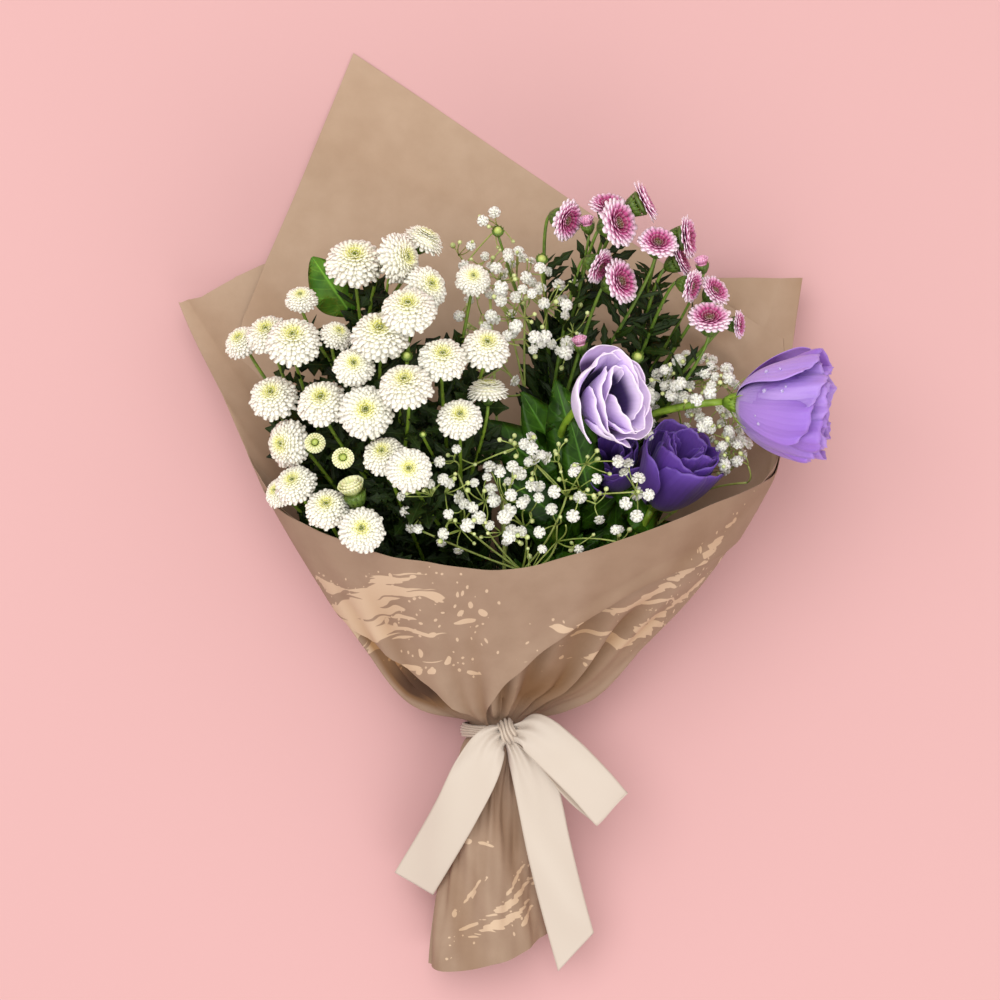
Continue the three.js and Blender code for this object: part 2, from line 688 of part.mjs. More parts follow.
// Heads that press into each other part: the higher one rises and the lower one sinks.
function partHeads() {
  for (let pass = 0; pass < 120; pass++)
    for (let i = 0; i < heads.length; i++)
      for (let j = i + 1; j < heads.length; j++) {
        const [a, b] = [heads[i], heads[j]];
        if (a.centre.distanceTo(b.centre) > (a.radius + b.radius) * 1.1) continue;
        let press = 0;
        for (const [p, r] of headBalls(a))
          for (const [q, s] of headBalls(b)) press = Math.max(press, r + s - p.distanceTo(q));
        if (press <= 0) continue;
        const up = a.centre.z > b.centre.z ? 1 : -1;
        const away = a.centre.clone().sub(b.centre).setZ(0).normalize();
        a.centre.addScaledVector(away, press * 0.08).z += up * press * 0.3;
        b.centre.addScaledVector(away, -press * 0.08).z -= up * press * 0.3;
      }
}
partHeads();

// A white head: two layers of petals, as a star within a star, round a dimpled middle. A pink one
// is flatter and more open. The rings go from the flat seat out to the tips and in to the middle.
const PETALS = { white: 7, pink: 6 };
const SEAT_DEPTH = 0.28; // of a head's radius, from its middle down to its flat underside
function headForm({ centre, axis, radius, colour }, seed) {
  const roll = dice(seed);
  const tall = colour === "white" ? 1 : 0.8;
  const seat = centre.clone().addScaledVector(axis, -SEAT_DEPTH * radius);
  const star = (tip, notch, rise, dip, turn) => (i) => {
    const isTip = (i + turn) % 2 === 0;
    const uneven = 0.94 + 0.1 * roll();
    return isTip ? [radius * tip * uneven, rise * radius] : [radius * notch, dip * radius];
  };
  const n = PETALS[colour] * 2;
  return loft([
    ringRound(seat, axis, n, () => [radius * 0.3, 0]),
    ringRound(seat, axis, n, star(1, 0.78, 0.2 * tall, 0.34 * tall, 0)),
    ringRound(seat, axis, n, star(0.7, 0.5, 0.52 * tall, 0.6 * tall, 1)),
    ringRound(seat, axis, n, () => [radius * 0.2, 0.46 * radius * tall]),
  ]);
}

heads.forEach((head) => headBalls(head).forEach(([c, r]) => keepBall(head.name, c, r)));

// ---------------------------------------------------------------- lisianthus blooms
// The middle's pixel and height, the mouth's width and the cup's length in pixels, the lean
// direction and the lean from the camera. Overlapping petals stand on a small disc.
const BLOOMS = {
  lilac_front: { at: [610, 398, 140], width: 88, length: 62, bearing: 100, lean: 22, colour: "lilac" },
  lilac_side: { at: [777, 405, 108], width: 96, length: 84, bearing: -4, lean: 80, colour: "lilac" },
  violet_right: { at: [684, 468, 92], width: 82, length: 70, bearing: 70, lean: 34, colour: "violet" },
  violet_left: { at: [612, 468, 80], width: 64, length: 60, bearing: 100, lean: 30, colour: "violet" },
};
const OUTER_PETALS = 5;
const INNER_PETALS = 3;

for (const [name, bloom] of Object.entries(BLOOMS)) {
  const [b, l] = [radians(bloom.bearing), radians(bloom.lean)];
  bloom.axis = V(Math.sin(l) * Math.cos(b), Math.sin(l) * Math.sin(b), Math.cos(l));
  bloom.radius = (bloom.width * MM_PER_PIXEL) / 2;
  bloom.depth = bloom.length * MM_PER_PIXEL;
  bloom.centre = seen(...bloom.at);
  bloom.seat = bloom.centre.clone().addScaledVector(bloom.axis, -0.5 * bloom.depth);
  bloom.node = `bloom_${name}`;
  for (const [rise, share] of [[0.25, 0.42], [0.5, 0.66], [0.72, 0.84]])
    keepBall(
      bloom.node,
      bloom.seat.clone().addScaledVector(bloom.axis, bloom.depth * rise),
      bloom.radius * share,
    );
  for (const c of ringRound(bloom.seat, bloom.axis, 8, () => [bloom.radius * 0.72, bloom.depth * 0.85]))
    keepBall(bloom.node, c, bloom.radius * 0.34);
}

// One petal of the cup: it rises from the base, swells, and turns out at the lip, and one side lies
// a little further out than the other, so that neighbours overlap.
function petal({ seat, axis, radius, depth }, turn, reachShare, spread, phase, rows) {
  const [u, v] = squareTo(axis);
  const columns = 2;
  const rings = [];
  for (let i = 0; i <= rows; i++) {
    const t = i / rows;
    const face = (thick) =>
      Array.from({ length: columns + 1 }, (_, k) => {
        const s = (k / columns) * 2 - 1;
        const swell = Math.sin(t * Math.PI * 0.58) ** 0.8;
        const lip = 0.05 * t * t * Math.cos(3 * s + phase);
        const r = radius * reachShare * (0.24 + 0.68 * swell + lip) * (1 + 0.13 * s) + thick;
        const a = turn + s * spread * (0.65 + 0.35 * Math.sin(t * 2.6));
        const rise = depth * t * (1.04 - 0.16 * s * s - 0.03 * Math.sin(phase * 3));
        return seat
          .clone()
          .addScaledVector(u, r * Math.cos(a))
          .addScaledVector(v, r * Math.sin(a))
          .addScaledVector(axis, rise + 1);
      });
    rings.push([...face(0.45), ...face(-0.45).reverse()]);
  }
  return loft(rings);
}

function bloomForm(bloom) {
  const { seat, axis, radius, depth } = bloom;
  const disc = [0, 0.12].map((z) => ringRound(seat, axis, 8, () => [radius * 0.36, depth * z]));
  const forms = [loft(disc)];
  for (let i = 0; i < OUTER_PETALS; i++)
    forms.push(petal(bloom, (i / OUTER_PETALS) * 2 * Math.PI, 1, 0.82, i * 1.7, 3));
  for (let i = 0; i < INNER_PETALS; i++)
    forms.push(petal(bloom, ((i + 0.4) / INNER_PETALS) * 2 * Math.PI, 0.66, 1.15, i * 2.3 + 1, 2));
  return fuse(forms);
}

// ---------------------------------------------------------------- growing a spray
// Branches leave the main stem in turn and end in a green cup under a flower, or in a closed bud.
const BRANCH_RADIUS = 1.1;
const BRANCH_SIDES = 4;

function growBranch({ node, forms }, from, seat, axis, profile) {
  const tip = profile.map(([, below]) => seat.clone().addScaledVector(axis, -below));
  const middle = from.clone().lerp(tip[0], 0.6).addScaledVector(axis, -4);
  const points = bendClear(node, [from, middle, tip[0]], BRANCH_RADIUS);
  keepPath(node, points, BRANCH_RADIUS);
  profile.slice(1).forEach(([radius], i) => keepBall(node, tip[i + 1], radius * 0.9));
  const radii = [BRANCH_RADIUS, BRANCH_RADIUS, ...profile.map(([radius]) => radius)];
  forms.push(sweep([...points, ...tip.slice(1)], radii, BRANCH_SIDES));
}

function growBranches(plant, ends, buds = []) {
  ends.forEach(({ seat, axis, radius, depth }, i) => {
    const leaveAt = mix(0.72, 1, ends.length > 1 ? i / (ends.length - 1) : 1);
    const top = seat.clone().addScaledVector(axis, -SEAT_GAP);
    const cup = [[BRANCH_RADIUS, depth], [radius * 0.85, depth * 0.5], [radius, 0]];
    growBranch(plant, plant.stem.getPoint(leaveAt), top, axis, cup);
  });
  for (const [px, py, size] of buds) {
    const radius = size * MM_PER_PIXEL * 0.55;
    const tip = seen(px, py, domeHeight(px, py) - 4);
    const axis = V(0, 0.6, 0.8);
    keepBall(plant.node, tip.clone().addScaledVector(axis, -radius), radius);
    const bud = [[BRANCH_RADIUS, radius * 2], [radius, radius], [radius * 0.4, 0]];
    growBranch(plant, plant.stem.getPoint(0.9), tip, axis, bud);
  }
}

const headSeat = (head) => ({
  seat: head.centre.clone().addScaledVector(head.axis, -SEAT_DEPTH * head.radius),
  axis: head.axis,
  radius: head.radius * 0.34,
  depth: head.radius * 0.42,
});
const bloomSeat = ({ seat, axis, radius }) => ({ seat, axis, radius: radius * 0.24, depth: 9 });

const LISIANTHUS = {
  front: {
    slot: [1, 1], fork: [598, 440, 60], blooms: ["lilac_front", "lilac_side"],
    leaves: [
      [566, 505, 482, 430, 98, OVAL], [572, 495, 524, 396, 90, OVAL], [580, 478, 556, 388, 96, OVAL],
      [560, 520, 500, 478, 104, OVAL], [590, 455, 566, 468, 98, OVAL],
    ],
  },
  back: {
    slot: [2, -1], fork: [640, 520, 46], blooms: ["violet_right", "violet_left"],
    leaves: [[640, 520, 700, 440, 70, OVAL]],
  },
};
const BREATH = {
  middle: {
    slot: [0, 1], fork: [505, 520, 84],
    clouds: [
      { centre: [520, 495], spread: [128, 60], z: [128, 150], florets: 16 },
      { centre: [518, 305], spread: [72, 95], z: [88, 128], florets: 10 },
    ],
  },
  side: {
    slot: [2, 0], fork: [665, 500, 60],
    clouds: [{ centre: [700, 425], spread: [62, 58], z: [66, 100], florets: 9 }],
  },
};

// The cups' places are kept first. Then all the stems grow, then the branches, and last the leaves
// and the baby's breath.
const sprays = [];
for (const [prefix, group] of [["white", WHITE_SPRAYS], ["pink", PINK_SPRAYS]])
  for (const [name, spray] of Object.entries(group)) {
    const ends = heads.filter((h) => h.colour === prefix && h.spray === name).map(headSeat);
    ends.sort((a, b) => a.seat.y - b.seat.y);
    sprays.push({ node: `${prefix}_spray_${name}`, material: MATERIALS.green, ends, ...spray });
  }
for (const [name, spray] of Object.entries(LISIANTHUS)) {
  const ends = spray.blooms.map((b) => bloomSeat(BLOOMS[b]));
  sprays.push({ node: `lisianthus_stem_${name}`, material: MATERIALS.leaf, ends, ...spray });
}
for (const { node, ends } of sprays)
  for (const { seat, axis, radius, depth } of ends)
    keepBall(node, seat.clone().addScaledVector(axis, -depth / 2), radius);
for (const spray of sprays) spray.plant = startPlant(spray.node, spray.material, spray, STEM_RADIUS);
const breath = Object.entries(BREATH).map(([name, spray]) => ({
  plant: startPlant(`babys_breath_${name}`, MATERIALS.breath, spray, 1.4),
  ...spray,
}));
for (const { plant, ends, buds } of sprays) growBranches(plant, ends, buds);
for (const { plant, leaves = [] } of sprays) leaves.forEach((row) => placeLeaf(plant, row));
sprays.forEach(({ plant }, k) => {
  const wide = plant.material === MATERIALS.leaf;
  const [length, widths] = wide ? [44, OVAL] : [33, LOBED];
  growLeaves(plant, { count: 3, length, widths, seed: 40 + k });
});

// ---------------------------------------------------------------- baby's breath
// Florets are spread over an ellipse of the picture and between two heights. Each stands on a twig
// from its plant's nearest branch, and is kept only where it and its twig are clear.
const FLORET_RADIUS = 3.7;
const TWIG_RADIUS = 0.65;
const ARM_RADIUS = 0.8;
const ARMS = 3;
const TRIES_EACH = 12; // places tried for each floret

// A floret and its twig in one: a thin stalk that opens into a four-sided double flower.
function floret(from, centre, axis) {
  const at = (below) => centre.clone().addScaledVector(axis, -below);
  const radii = [TWIG_RADIUS, TWIG_RADIUS, FLORET_RADIUS, FLORET_RADIUS * 0.4];
  return sweep([from, at(FLORET_RADIUS * 0.8), at(-0.4), at(-FLORET_RADIUS * 0.6)], radii, 4);
}

function lineClear(node, a, b, radius) {
  const places = ballsAlong([a, b]).slice(1);
  return places.every((p) => reach(node, p, radius) < -CLEARANCE && insideWrap(p, radius + 1.5));
}

function growCloud({ node, forms, stem }, { centre, spread, z, florets }, seed) {
  const roll = dice(seed);
  const root = stem.getPoint(1);
  const place = (share, a, height) => {
    const [x, y] = [spread[0] * share * Math.cos(a), spread[1] * share * Math.sin(a)];
    return seen(centre[0] + x, centre[1] + y, height);
  };
  const forks = [];
  for (let i = 0; i < ARMS; i++) {
    const end = place(0.55, (i / ARMS) * 2 * Math.PI + 0.4, z[0] - 12);
    const points = bendClear(node, [root, root.clone().lerp(end, 0.5), end], ARM_RADIUS);
    if (!points.slice(1).every((p, j) => lineClear(node, points[j], p, ARM_RADIUS))) continue;
    forms.push(sweep(points, [ARM_RADIUS * 1.25, ARM_RADIUS * 1.1, ARM_RADIUS], 3));
    for (let t = 0.36; t < 1; t += 0.07) forks.push(route(points).getPoint(t));
  }
  for (let tries = 0; tries < TRIES_EACH * florets && florets > 0; tries++) {
    const middle = place(Math.sqrt(roll()), roll() * 2 * Math.PI, mix(z[0], z[1], roll()));
    const nearer = (best, f) => (f.distanceTo(middle) < best.distanceTo(middle) ? f : best);
    const from = forks.reduce(nearer);
    const axis = middle.clone().sub(from).normalize().add(V(0, 0, 0.8)).normalize();
    const foot = middle.clone().addScaledVector(axis, -FLORET_RADIUS * 0.8);
    if (reach("", middle, FLORET_RADIUS) > -CLEARANCE) continue;
    if (!insideWrap(middle, FLORET_RADIUS + 2)) continue;
    if (!lineClear(node, from, foot, TWIG_RADIUS)) continue;
    forms.push(floret(from, middle, axis));
    keepBall(`${node} florets`, middle, FLORET_RADIUS);
    florets--;
  }
}

breath.forEach(({ plant, clouds }, k) => {
  clouds.forEach((cloud, i) => growCloud(plant, cloud, 900 + 10 * k + i));
});

for (const plant of plants) addMesh(plant.node, fuse(plant.forms), plant.material);
heads.forEach((head, i) => addMesh(head.name, headForm(head, 300 + i), MATERIALS[head.colour]));
for (const bloom of Object.values(BLOOMS))
  addMesh(bloom.node, bloomForm(bloom), MATERIALS[bloom.colour]);

// The origin goes to the middle of the bounding box, at the surface.
const box = new THREE.Box3().setFromObject(bouquet);
const middle = box.getCenter(V());
for (const mesh of bouquet.children) mesh.position.set(-middle.x, -middle.y, -box.min.z);

export default bouquet;
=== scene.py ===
# A mixed flower bouquet in a paper wrap with a satin ribbon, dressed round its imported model.
# Lengths are millimetres in the model's building frame, and become metres when a mesh is made.
import math

import bpy
import numpy as np
from bpy.props import FloatProperty, FloatVectorProperty, IntProperty, PointerProperty
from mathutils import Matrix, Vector


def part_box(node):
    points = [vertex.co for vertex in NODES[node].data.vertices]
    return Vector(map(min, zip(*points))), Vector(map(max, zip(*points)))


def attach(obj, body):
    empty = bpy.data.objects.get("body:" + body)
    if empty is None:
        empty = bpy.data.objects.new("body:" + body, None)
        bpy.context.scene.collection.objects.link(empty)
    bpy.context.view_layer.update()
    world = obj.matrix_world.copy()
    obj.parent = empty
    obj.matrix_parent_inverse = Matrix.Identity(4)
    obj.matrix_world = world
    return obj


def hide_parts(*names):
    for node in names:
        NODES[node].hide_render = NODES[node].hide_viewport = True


bl_info = {
    "name": "Mixed Flower Bouquet",
    "version": (1, 0, 0),
    "blender": (4, 5, 0),
    "location": "3D View > Sidebar > Bouquet",
    "description": "Builds a wrapped bouquet of chrysanthemums, lisianthus and baby's breath",
    "category": "Add Mesh",
}

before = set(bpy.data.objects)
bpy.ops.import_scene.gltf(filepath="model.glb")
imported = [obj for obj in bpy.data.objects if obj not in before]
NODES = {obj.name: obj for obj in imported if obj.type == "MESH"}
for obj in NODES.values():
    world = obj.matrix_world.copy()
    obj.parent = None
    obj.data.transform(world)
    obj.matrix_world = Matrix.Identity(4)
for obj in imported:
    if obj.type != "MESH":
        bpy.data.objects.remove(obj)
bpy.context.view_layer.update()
MM = 0.001

# ---------------------------------------------------------------- the building frame
RIBBON_WIDTH = 25.0
RIBBON_PIXELS = 45.5
MM_PER_PIXEL = RIBBON_WIDTH / RIBBON_PIXELS
PICTURE_CENTRE = (498, 512)
PICTURE_SIZE = 1000
CAMERA_HEIGHT = 1900.0
CAMERA_LENS, CAMERA_SENSOR = 120.56, 36.0
MID_HEIGHT = 60.0  # where a pixel is MM_PER_PIXEL wide
NECK = np.array([0.0, -120.0, 30.0])
TIE_MIDDLE = np.array([0.0, -121.5, 30.0])
STEM_PITCH = 4.6
STEM_END_Y = -226.0


def node_points(name):
    """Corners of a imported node's triangles as an array (corners, 3), in metres."""
    mesh = NODES[name].data
    flat = np.zeros(len(mesh.vertices) * 3)
    mesh.vertices.foreach_get("co", flat)
    return flat.reshape(-1, 3)


def node_faces(name):
    """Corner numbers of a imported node's triangles as an array (faces, 3)."""
    mesh = NODES[name].data
    mesh.calc_loop_triangles()
    flat = np.zeros(len(mesh.loop_triangles) * 3, dtype=int)
    mesh.loop_triangles.foreach_get("vertices", flat)
    return flat.reshape(-1, 3)


def box_middle(name):
    """Middle of a node's bounding box, in millimetres."""
    low, high = (np.array(corner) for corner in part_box(name))
    return (low + high) / 2 / MM


SHIFT = box_middle("stem_tie") - TIE_MIDDLE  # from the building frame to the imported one


def pixel_size(z):
    """Width under a pixel at height z: it shrinks evenly towards the camera."""
    return MM_PER_PIXEL * (1 - (z - MID_HEIGHT) / (CAMERA_HEIGHT - MID_HEIGHT))


def seen(px, py, z):
    """Point at height z under a pixel."""
    px, py, z = (np.asarray(a, float) for a in (px, py, z))
    x = (px - PICTURE_CENTRE[0]) * pixel_size(z)
    y = (PICTURE_CENTRE[1] - py) * pixel_size(z)
    return np.stack(np.broadcast_arrays(x, y, z), axis=-1)


# ---------------------------------------------------------------- numbers and curves
def mix(a, b, t):
    return a + (b - a) * t


def smooth(a, b, x):
    """Cubic step: 3t^2 - 2t^3 with t running from 0 at a to 1 at b."""
    t = np.clip((x - a) / (b - a), 0, 1)
    return t * t * (3 - 2 * t)


def unit(v):
    return v / np.maximum(np.linalg.norm(v, axis=-1, keepdims=True), 1e-9)


def curve_through(knots):
    """Function through [x, value, ...] knots: Hermite cubics, each knot's slope from its neighbours."""
    table = np.array(knots, float)
    x, y = table[:, 0], table[:, 1:]
    before = np.maximum(np.arange(len(x)) - 1, 0)
    after = np.minimum(np.arange(len(x)) + 1, len(x) - 1)
    slope = (y[after] - y[before]) / (x[after] - x[before])[:, None]

    def at(s):
        s = np.asarray(s, float)
        i = np.clip(np.searchsorted(x, s) - 1, 0, len(x) - 2)
        h = (x[i + 1] - x[i])[..., None]
        t = np.clip((s - x[i])[..., None] / h, 0, 1)
        ends = (1 + 2 * t) * (1 - t) ** 2 * y[i] + t * t * (3 - 2 * t) * y[i + 1]
        slopes = t * (1 - t) ** 2 * h * slope[i] + t * t * (t - 1) * h * slope[i + 1]
        value = ends + slopes
        return value[..., 0] if y.shape[1] == 1 else value

    return at


def square_to(axis):
    """Two directions square to each axis and to each other."""
    axis = np.asarray(axis, float)
    steep = np.abs(axis[..., 2:3]) >= 0.9
    helper = np.where(steep, [1.0, 0.0, 0.0], [0.0, 0.0, 1.0])
    side = unit(np.cross(helper, axis))
    return side, np.cross(axis, side)


def spokes(axis, turn):
    """Directions square to an axis, at turns round it."""
    side, other = square_to(axis)
    return np.cos(turn)[..., None] * side + np.sin(turn)[..., None] * other


def even_turns(count):
    return np.linspace(0, 2 * np.pi, count, endpoint=False)


def lean_axis(bearing, lean):
    """Direction that leans from upright by lean degrees, towards bearing degrees from +X."""
    bearing, lean = math.radians(bearing), math.radians(lean)
    across = math.sin(lean)
    return np.array([across * math.cos(bearing), across * math.sin(bearing), math.cos(lean)])


# ---------------------------------------------------------------- forms as whole arrays
def loft_many(points):
    """Faces of M closed bodies through S rings of K points each: points is (M, S, K, 3)."""
    m, s, k = points.shape[:3]
    start = np.arange(m)[:, None, None] * s * k
    ring = np.arange(s - 1)[None, :, None] * k
    j = np.arange(k)[None, None, :]
    after = (j + 1) % k
    quads = np.stack(
        [start + ring + j, start + ring + after, start + ring + k + after, start + ring + k + j],
        axis=-1,
    )
    cap = np.arange(k)[None, :] + np.arange(m)[:, None] * s * k
    return points.reshape(-1, 3), [quads.reshape(-1, 4), cap[:, ::-1], cap + (s - 1) * k]


def tubes(paths, radii, sides):
    """Round tubes along paths (M, S, 3): each ring lies square to the path's local direction."""
    tangent = unit(np.gradient(paths, axis=1))
    chord = unit(paths[:, -1] - paths[:, 0])
    helper = square_to(chord)[0][:, None, :]
    side = unit(np.cross(tangent, helper))
    other = np.cross(tangent, side)
    turn = even_turns(sides)[:, None]
    radii = np.broadcast_to(radii, paths.shape[:2])[:, :, None, None]
    ring = np.cos(turn) * side[:, :, None] + np.sin(turn) * other[:, :, None]
    points, faces = loft_many(paths[:, :, None] + radii * ring)
    along = np.linspace(0, 1, paths.shape[1])[None, :, None]
    return points, faces, marks(paths.shape[:2] + (sides,), along, 0, 0, 0)


def marks(shape, *values):
    """Four finish values for each point of a (M, S, K) form."""
    return np.stack([np.broadcast_to(v, shape).ravel() for v in values], axis=-1)


def bend_paths(a, control, b, steps):
    """Quadratic curves (1-t)^2 a + 2t(1-t) control + t^2 b, as (M, steps, 3)."""
    t = np.linspace(0, 1, steps)[None, :, None]
    a, control, b = (np.atleast_2d(p)[:, None, :] for p in (a, control, b))
    return (1 - t) ** 2 * a + 2 * t * (1 - t) * control + t * t * b


PETAL_SECTION = ([-1, 0, 1, 0], [0, 0.5, 0, -0.5])
LEAF_SECTION = ([-1, -0.5, 0, 0.5, 1, 0], [0, 0.45, 0.5, 0.45, 0, -0.5])


def blades(base, along, up, length, widths, curl, fold, thick, section, chance=0.0, wave=0.0):
    """Thin closed blades. Spine: base + L (t along + curl t^2 up); section: across w(t) L / 2, raised
    by fold times the share across, plus a wave along the edges."""
    across, face = (np.array(a, float) for a in section)
    widths = np.asarray(widths, float)
    t = np.linspace(0, 1, widths.shape[-1])[None, :, None, None]
    m = len(base)
    length = np.broadcast_to(length, m)[:, None, None, None]
    curl = np.broadcast_to(curl, m)[:, None, None, None]
    chance = np.broadcast_to(chance, m)[:, None, None]
    along, up, base = (v[:, None, None, :] for v in (unit(along), unit(up), base))
    side = np.cross(along, up)
    half = np.broadcast_to(widths, (m, widths.shape[-1]))[:, :, None, None] * length / 2
    a, f = across[None, None, :, None], face[None, None, :, None]
    rise = fold * np.abs(a) * half + wave * half * a * a * np.sin(9 * t + 20 * chance[..., None])
    spine = base + length * (t * along + curl * t * t * up)
    points = spine + a * half * side + (rise + f * thick) * up
    verts, faces = loft_many(points)
    return verts, faces, marks(points.shape[:3], t[..., 0], across[None, None, :], chance, 0)


def shell(outer, thickness, ring=False, out=1.0):
    """Closed sheet from a grid (rows, columns, 3): the grid, and the same moved in along its normals."""
    rows, columns = outer.shape[:2]
    down = np.gradient(outer, axis=0)
    if ring:
        padded = np.concatenate([outer[:, -1:], outer, outer[:, :1]], axis=1)
        over = (padded[:, 2:] - padded[:, :-2]) / 2
    else:
        over = np.gradient(outer, axis=1)
    inner = outer - out * thickness * unit(np.cross(down, over))
    points = np.concatenate([outer.reshape(-1, 3), inner.reshape(-1, 3)])
    grid = np.arange(rows * columns).reshape(rows, columns)
    if ring:
        grid = np.concatenate([grid, grid[:, :1]], axis=1)
    half = rows * columns

    def strip(a, b, c, d):
        return np.stack([a.ravel(), b.ravel(), c.ravel(), d.ravel()], axis=-1)

    front = strip(grid[:-1, :-1], grid[1:, :-1], grid[1:, 1:], grid[:-1, 1:])
    faces = [front, front[:, ::-1] + half]
    edges = [grid[0, ::-1], grid[-1]] + ([] if ring else [grid[:, 0], grid[::-1, -1]])
    for edge in edges:
        faces.append(strip(edge[:-1], edge[:-1] + half, edge[1:] + half, edge[1:]))
    if out < 0:
        faces = [f[:, ::-1] for f in faces]
    side = np.repeat([0.0, 1.0], half)
    return points, faces, side


class Body:
    """Points, faces, finish values and materials of one piece, gathered from several forms."""

    def __init__(self):
        self.points, self.faces, self.finish, self.paint, self.count = [], [], [], [], 0

    def add(self, points, faces, finish, paint=0):
        self.points.append(points)
        self.finish.append(np.broadcast_to(finish, (len(points), 4)))
        for group in faces:
            self.faces.append(group + self.count)
            self.paint.append(np.full(len(group), paint))
        self.count += len(points)
        return self

    def piece(self, name, materials, slot, replaces, sharp=None, uv=None):
        """The mesh object at the origin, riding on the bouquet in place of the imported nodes."""
        corners = np.concatenate([f.ravel() for f in self.faces])
        sizes = np.concatenate([np.full(len(f), f.shape[1]) for f in self.faces])
        mesh = bpy.data.meshes.new(name)
        points = (np.concatenate(self.points) + SHIFT) * MM
        mesh.vertices.add(len(points))
        mesh.vertices.foreach_set("co", points.ravel())
        mesh.loops.add(len(corners))
        mesh.loops.foreach_set("vertex_index", corners)
        mesh.polygons.add(len(sizes))
        mesh.polygons.foreach_set("loop_start", np.concatenate([[0], np.cumsum(sizes)[:-1]]))
        mesh.polygons.foreach_set("material_index", np.concatenate(self.paint))
        mesh.polygons.foreach_set("use_smooth", np.ones(len(sizes), bool))
        finish = mesh.attributes.new("finish", "FLOAT_COLOR", "POINT")
        finish.data.foreach_set("color", np.concatenate(self.finish).ravel())
        if uv is not None:
            layer = mesh.uv_layers.new(name="cut")
            layer.data.foreach_set("uv", uv[corners].ravel())
        mesh.update(calc_edges=True)
        if sharp:
            mesh.set_sharp_from_angle(angle=math.radians(sharp))
        for material in materials:
            mesh.materials.append(material)
        obj = bpy.data.objects.new(name, mesh)
        bpy.context.scene.collection.objects.link(obj)
        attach(obj, "root")
        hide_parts(*replaces)
        return obj


# ---------------------------------------------------------------- materials
def tint(r, g, b):
    """Linear colour of an sRGB one given from 0 to 255."""
    c = np.array([r, g, b]) / 255
    line = np.where(c <= 0.04045, c / 12.92, ((c + 0.055) / 1.055) ** 2.4)
    return (*line.tolist(), 1.0)


class Finish:
    """A material and short names for the nodes that it is wired from."""

    def __init__(self, name, roughness, **sockets):
        self.material = bpy.data.materials.new(name)
        self.material.use_nodes = True
        self.tree = self.material.node_tree
        self.shader = self.tree.nodes["Principled BSDF"]
        self.shader.inputs["Roughness"].default_value = roughness
        for socket, value in sockets.items():
            self.shader.inputs[socket.replace("_", " ")].default_value = value

    def put(self, socket, value):
        if isinstance(value, bpy.types.NodeSocket):
            self.tree.links.new(value, socket)
        elif value is not None:
            socket.default_value = value

    def node(self, kind, *inputs, out=0, **settings):
        """One output of a new node. Inputs go to its sockets in their order, None leaves one alone."""
        node = self.tree.nodes.new("ShaderNode" + kind)
        for key, value in settings.items():
            setattr(node, key, value)
        for socket, value in zip(node.inputs, inputs):
            self.put(socket, value)
        return node.outputs[out]

    def math(self, operation, *inputs):
        return self.node("Math", *inputs, operation=operation)

    def vector(self, operation, *inputs):
        out = 1 if operation in ("LENGTH", "DISTANCE", "DOT_PRODUCT") else 0
        return self.node("VectorMath", *inputs, operation=operation, out=out)

    def place(self):
        """Object coordinates, in metres."""
        return self.node("TexCoord", out=3)

    def marks(self):
        """The piece's own finish values: along, across or outwards, chance, side. A sheet's first
        and third are what sheet_body is given: the place along it or the print's share, and its painted fold
        shade."""
        node = self.tree.nodes.new("ShaderNodeAttribute")
        node.attribute_name = "finish"
        parts = self.tree.nodes.new("ShaderNodeSeparateColor")
        self.tree.links.new(node.outputs["Color"], parts.inputs[0])
        return (*parts.outputs[:3], node.outputs["Alpha"])

    def noise(self, vector, scale, detail=3.0, roughness=0.55, distortion=0.0):
        node = self.tree.nodes.new("ShaderNodeTexNoise")
        self.put(node.inputs["Vector"], vector)
        settings = {"Scale": scale, "Detail": detail, "Roughness": roughness, "Distortion": distortion}
        for key, value in settings.items():
            node.inputs[key].default_value = value
        return node.outputs["Fac"]

    def step(self, value, low, high, to_low=0.0, to_high=1.0):
        node = self.tree.nodes.new("ShaderNodeMapRange")
        node.interpolation_type = "SMOOTHSTEP"
        for socket, v in zip(node.inputs, (value, low, high, to_low, to_high)):
            self.put(socket, v)
        return node.outputs[0]

    def blend(self, factor, a, b, mode="MIX"):
        node = self.tree.nodes.new("ShaderNodeMix")
        node.data_type = "RGBA"
        node.blend_type = mode
        for socket, value in zip((node.inputs[0], node.inputs[6], node.inputs[7]), (factor, a, b)):
            self.put(socket, value)
        return node.outputs[2]

    def ramp(self, factor, stops):
        node = self.tree.nodes.new("ShaderNodeValToRGB")
        ramp = node.color_ramp
        while len(ramp.elements) < len(stops):
            ramp.elements.new(1.0)
        for element, (place, colour) in zip(ramp.elements, stops):
            element.position, element.color = place, colour
        self.put(node.inputs[0], factor)
        return node.outputs[0]

    def colour(self, value):
        self.put(self.shader.inputs["Base Color"], value)
        return self

    def bump(self, height, strength, distance):
        node = self.tree.nodes.new("ShaderNodeBump")
        node.inputs["Strength"].default_value = strength
        node.inputs["Distance"].default_value = distance
        self.put(node.inputs["Height"], height)
        self.tree.links.new(node.outputs[0], self.shader.inputs["Normal"])
        return self


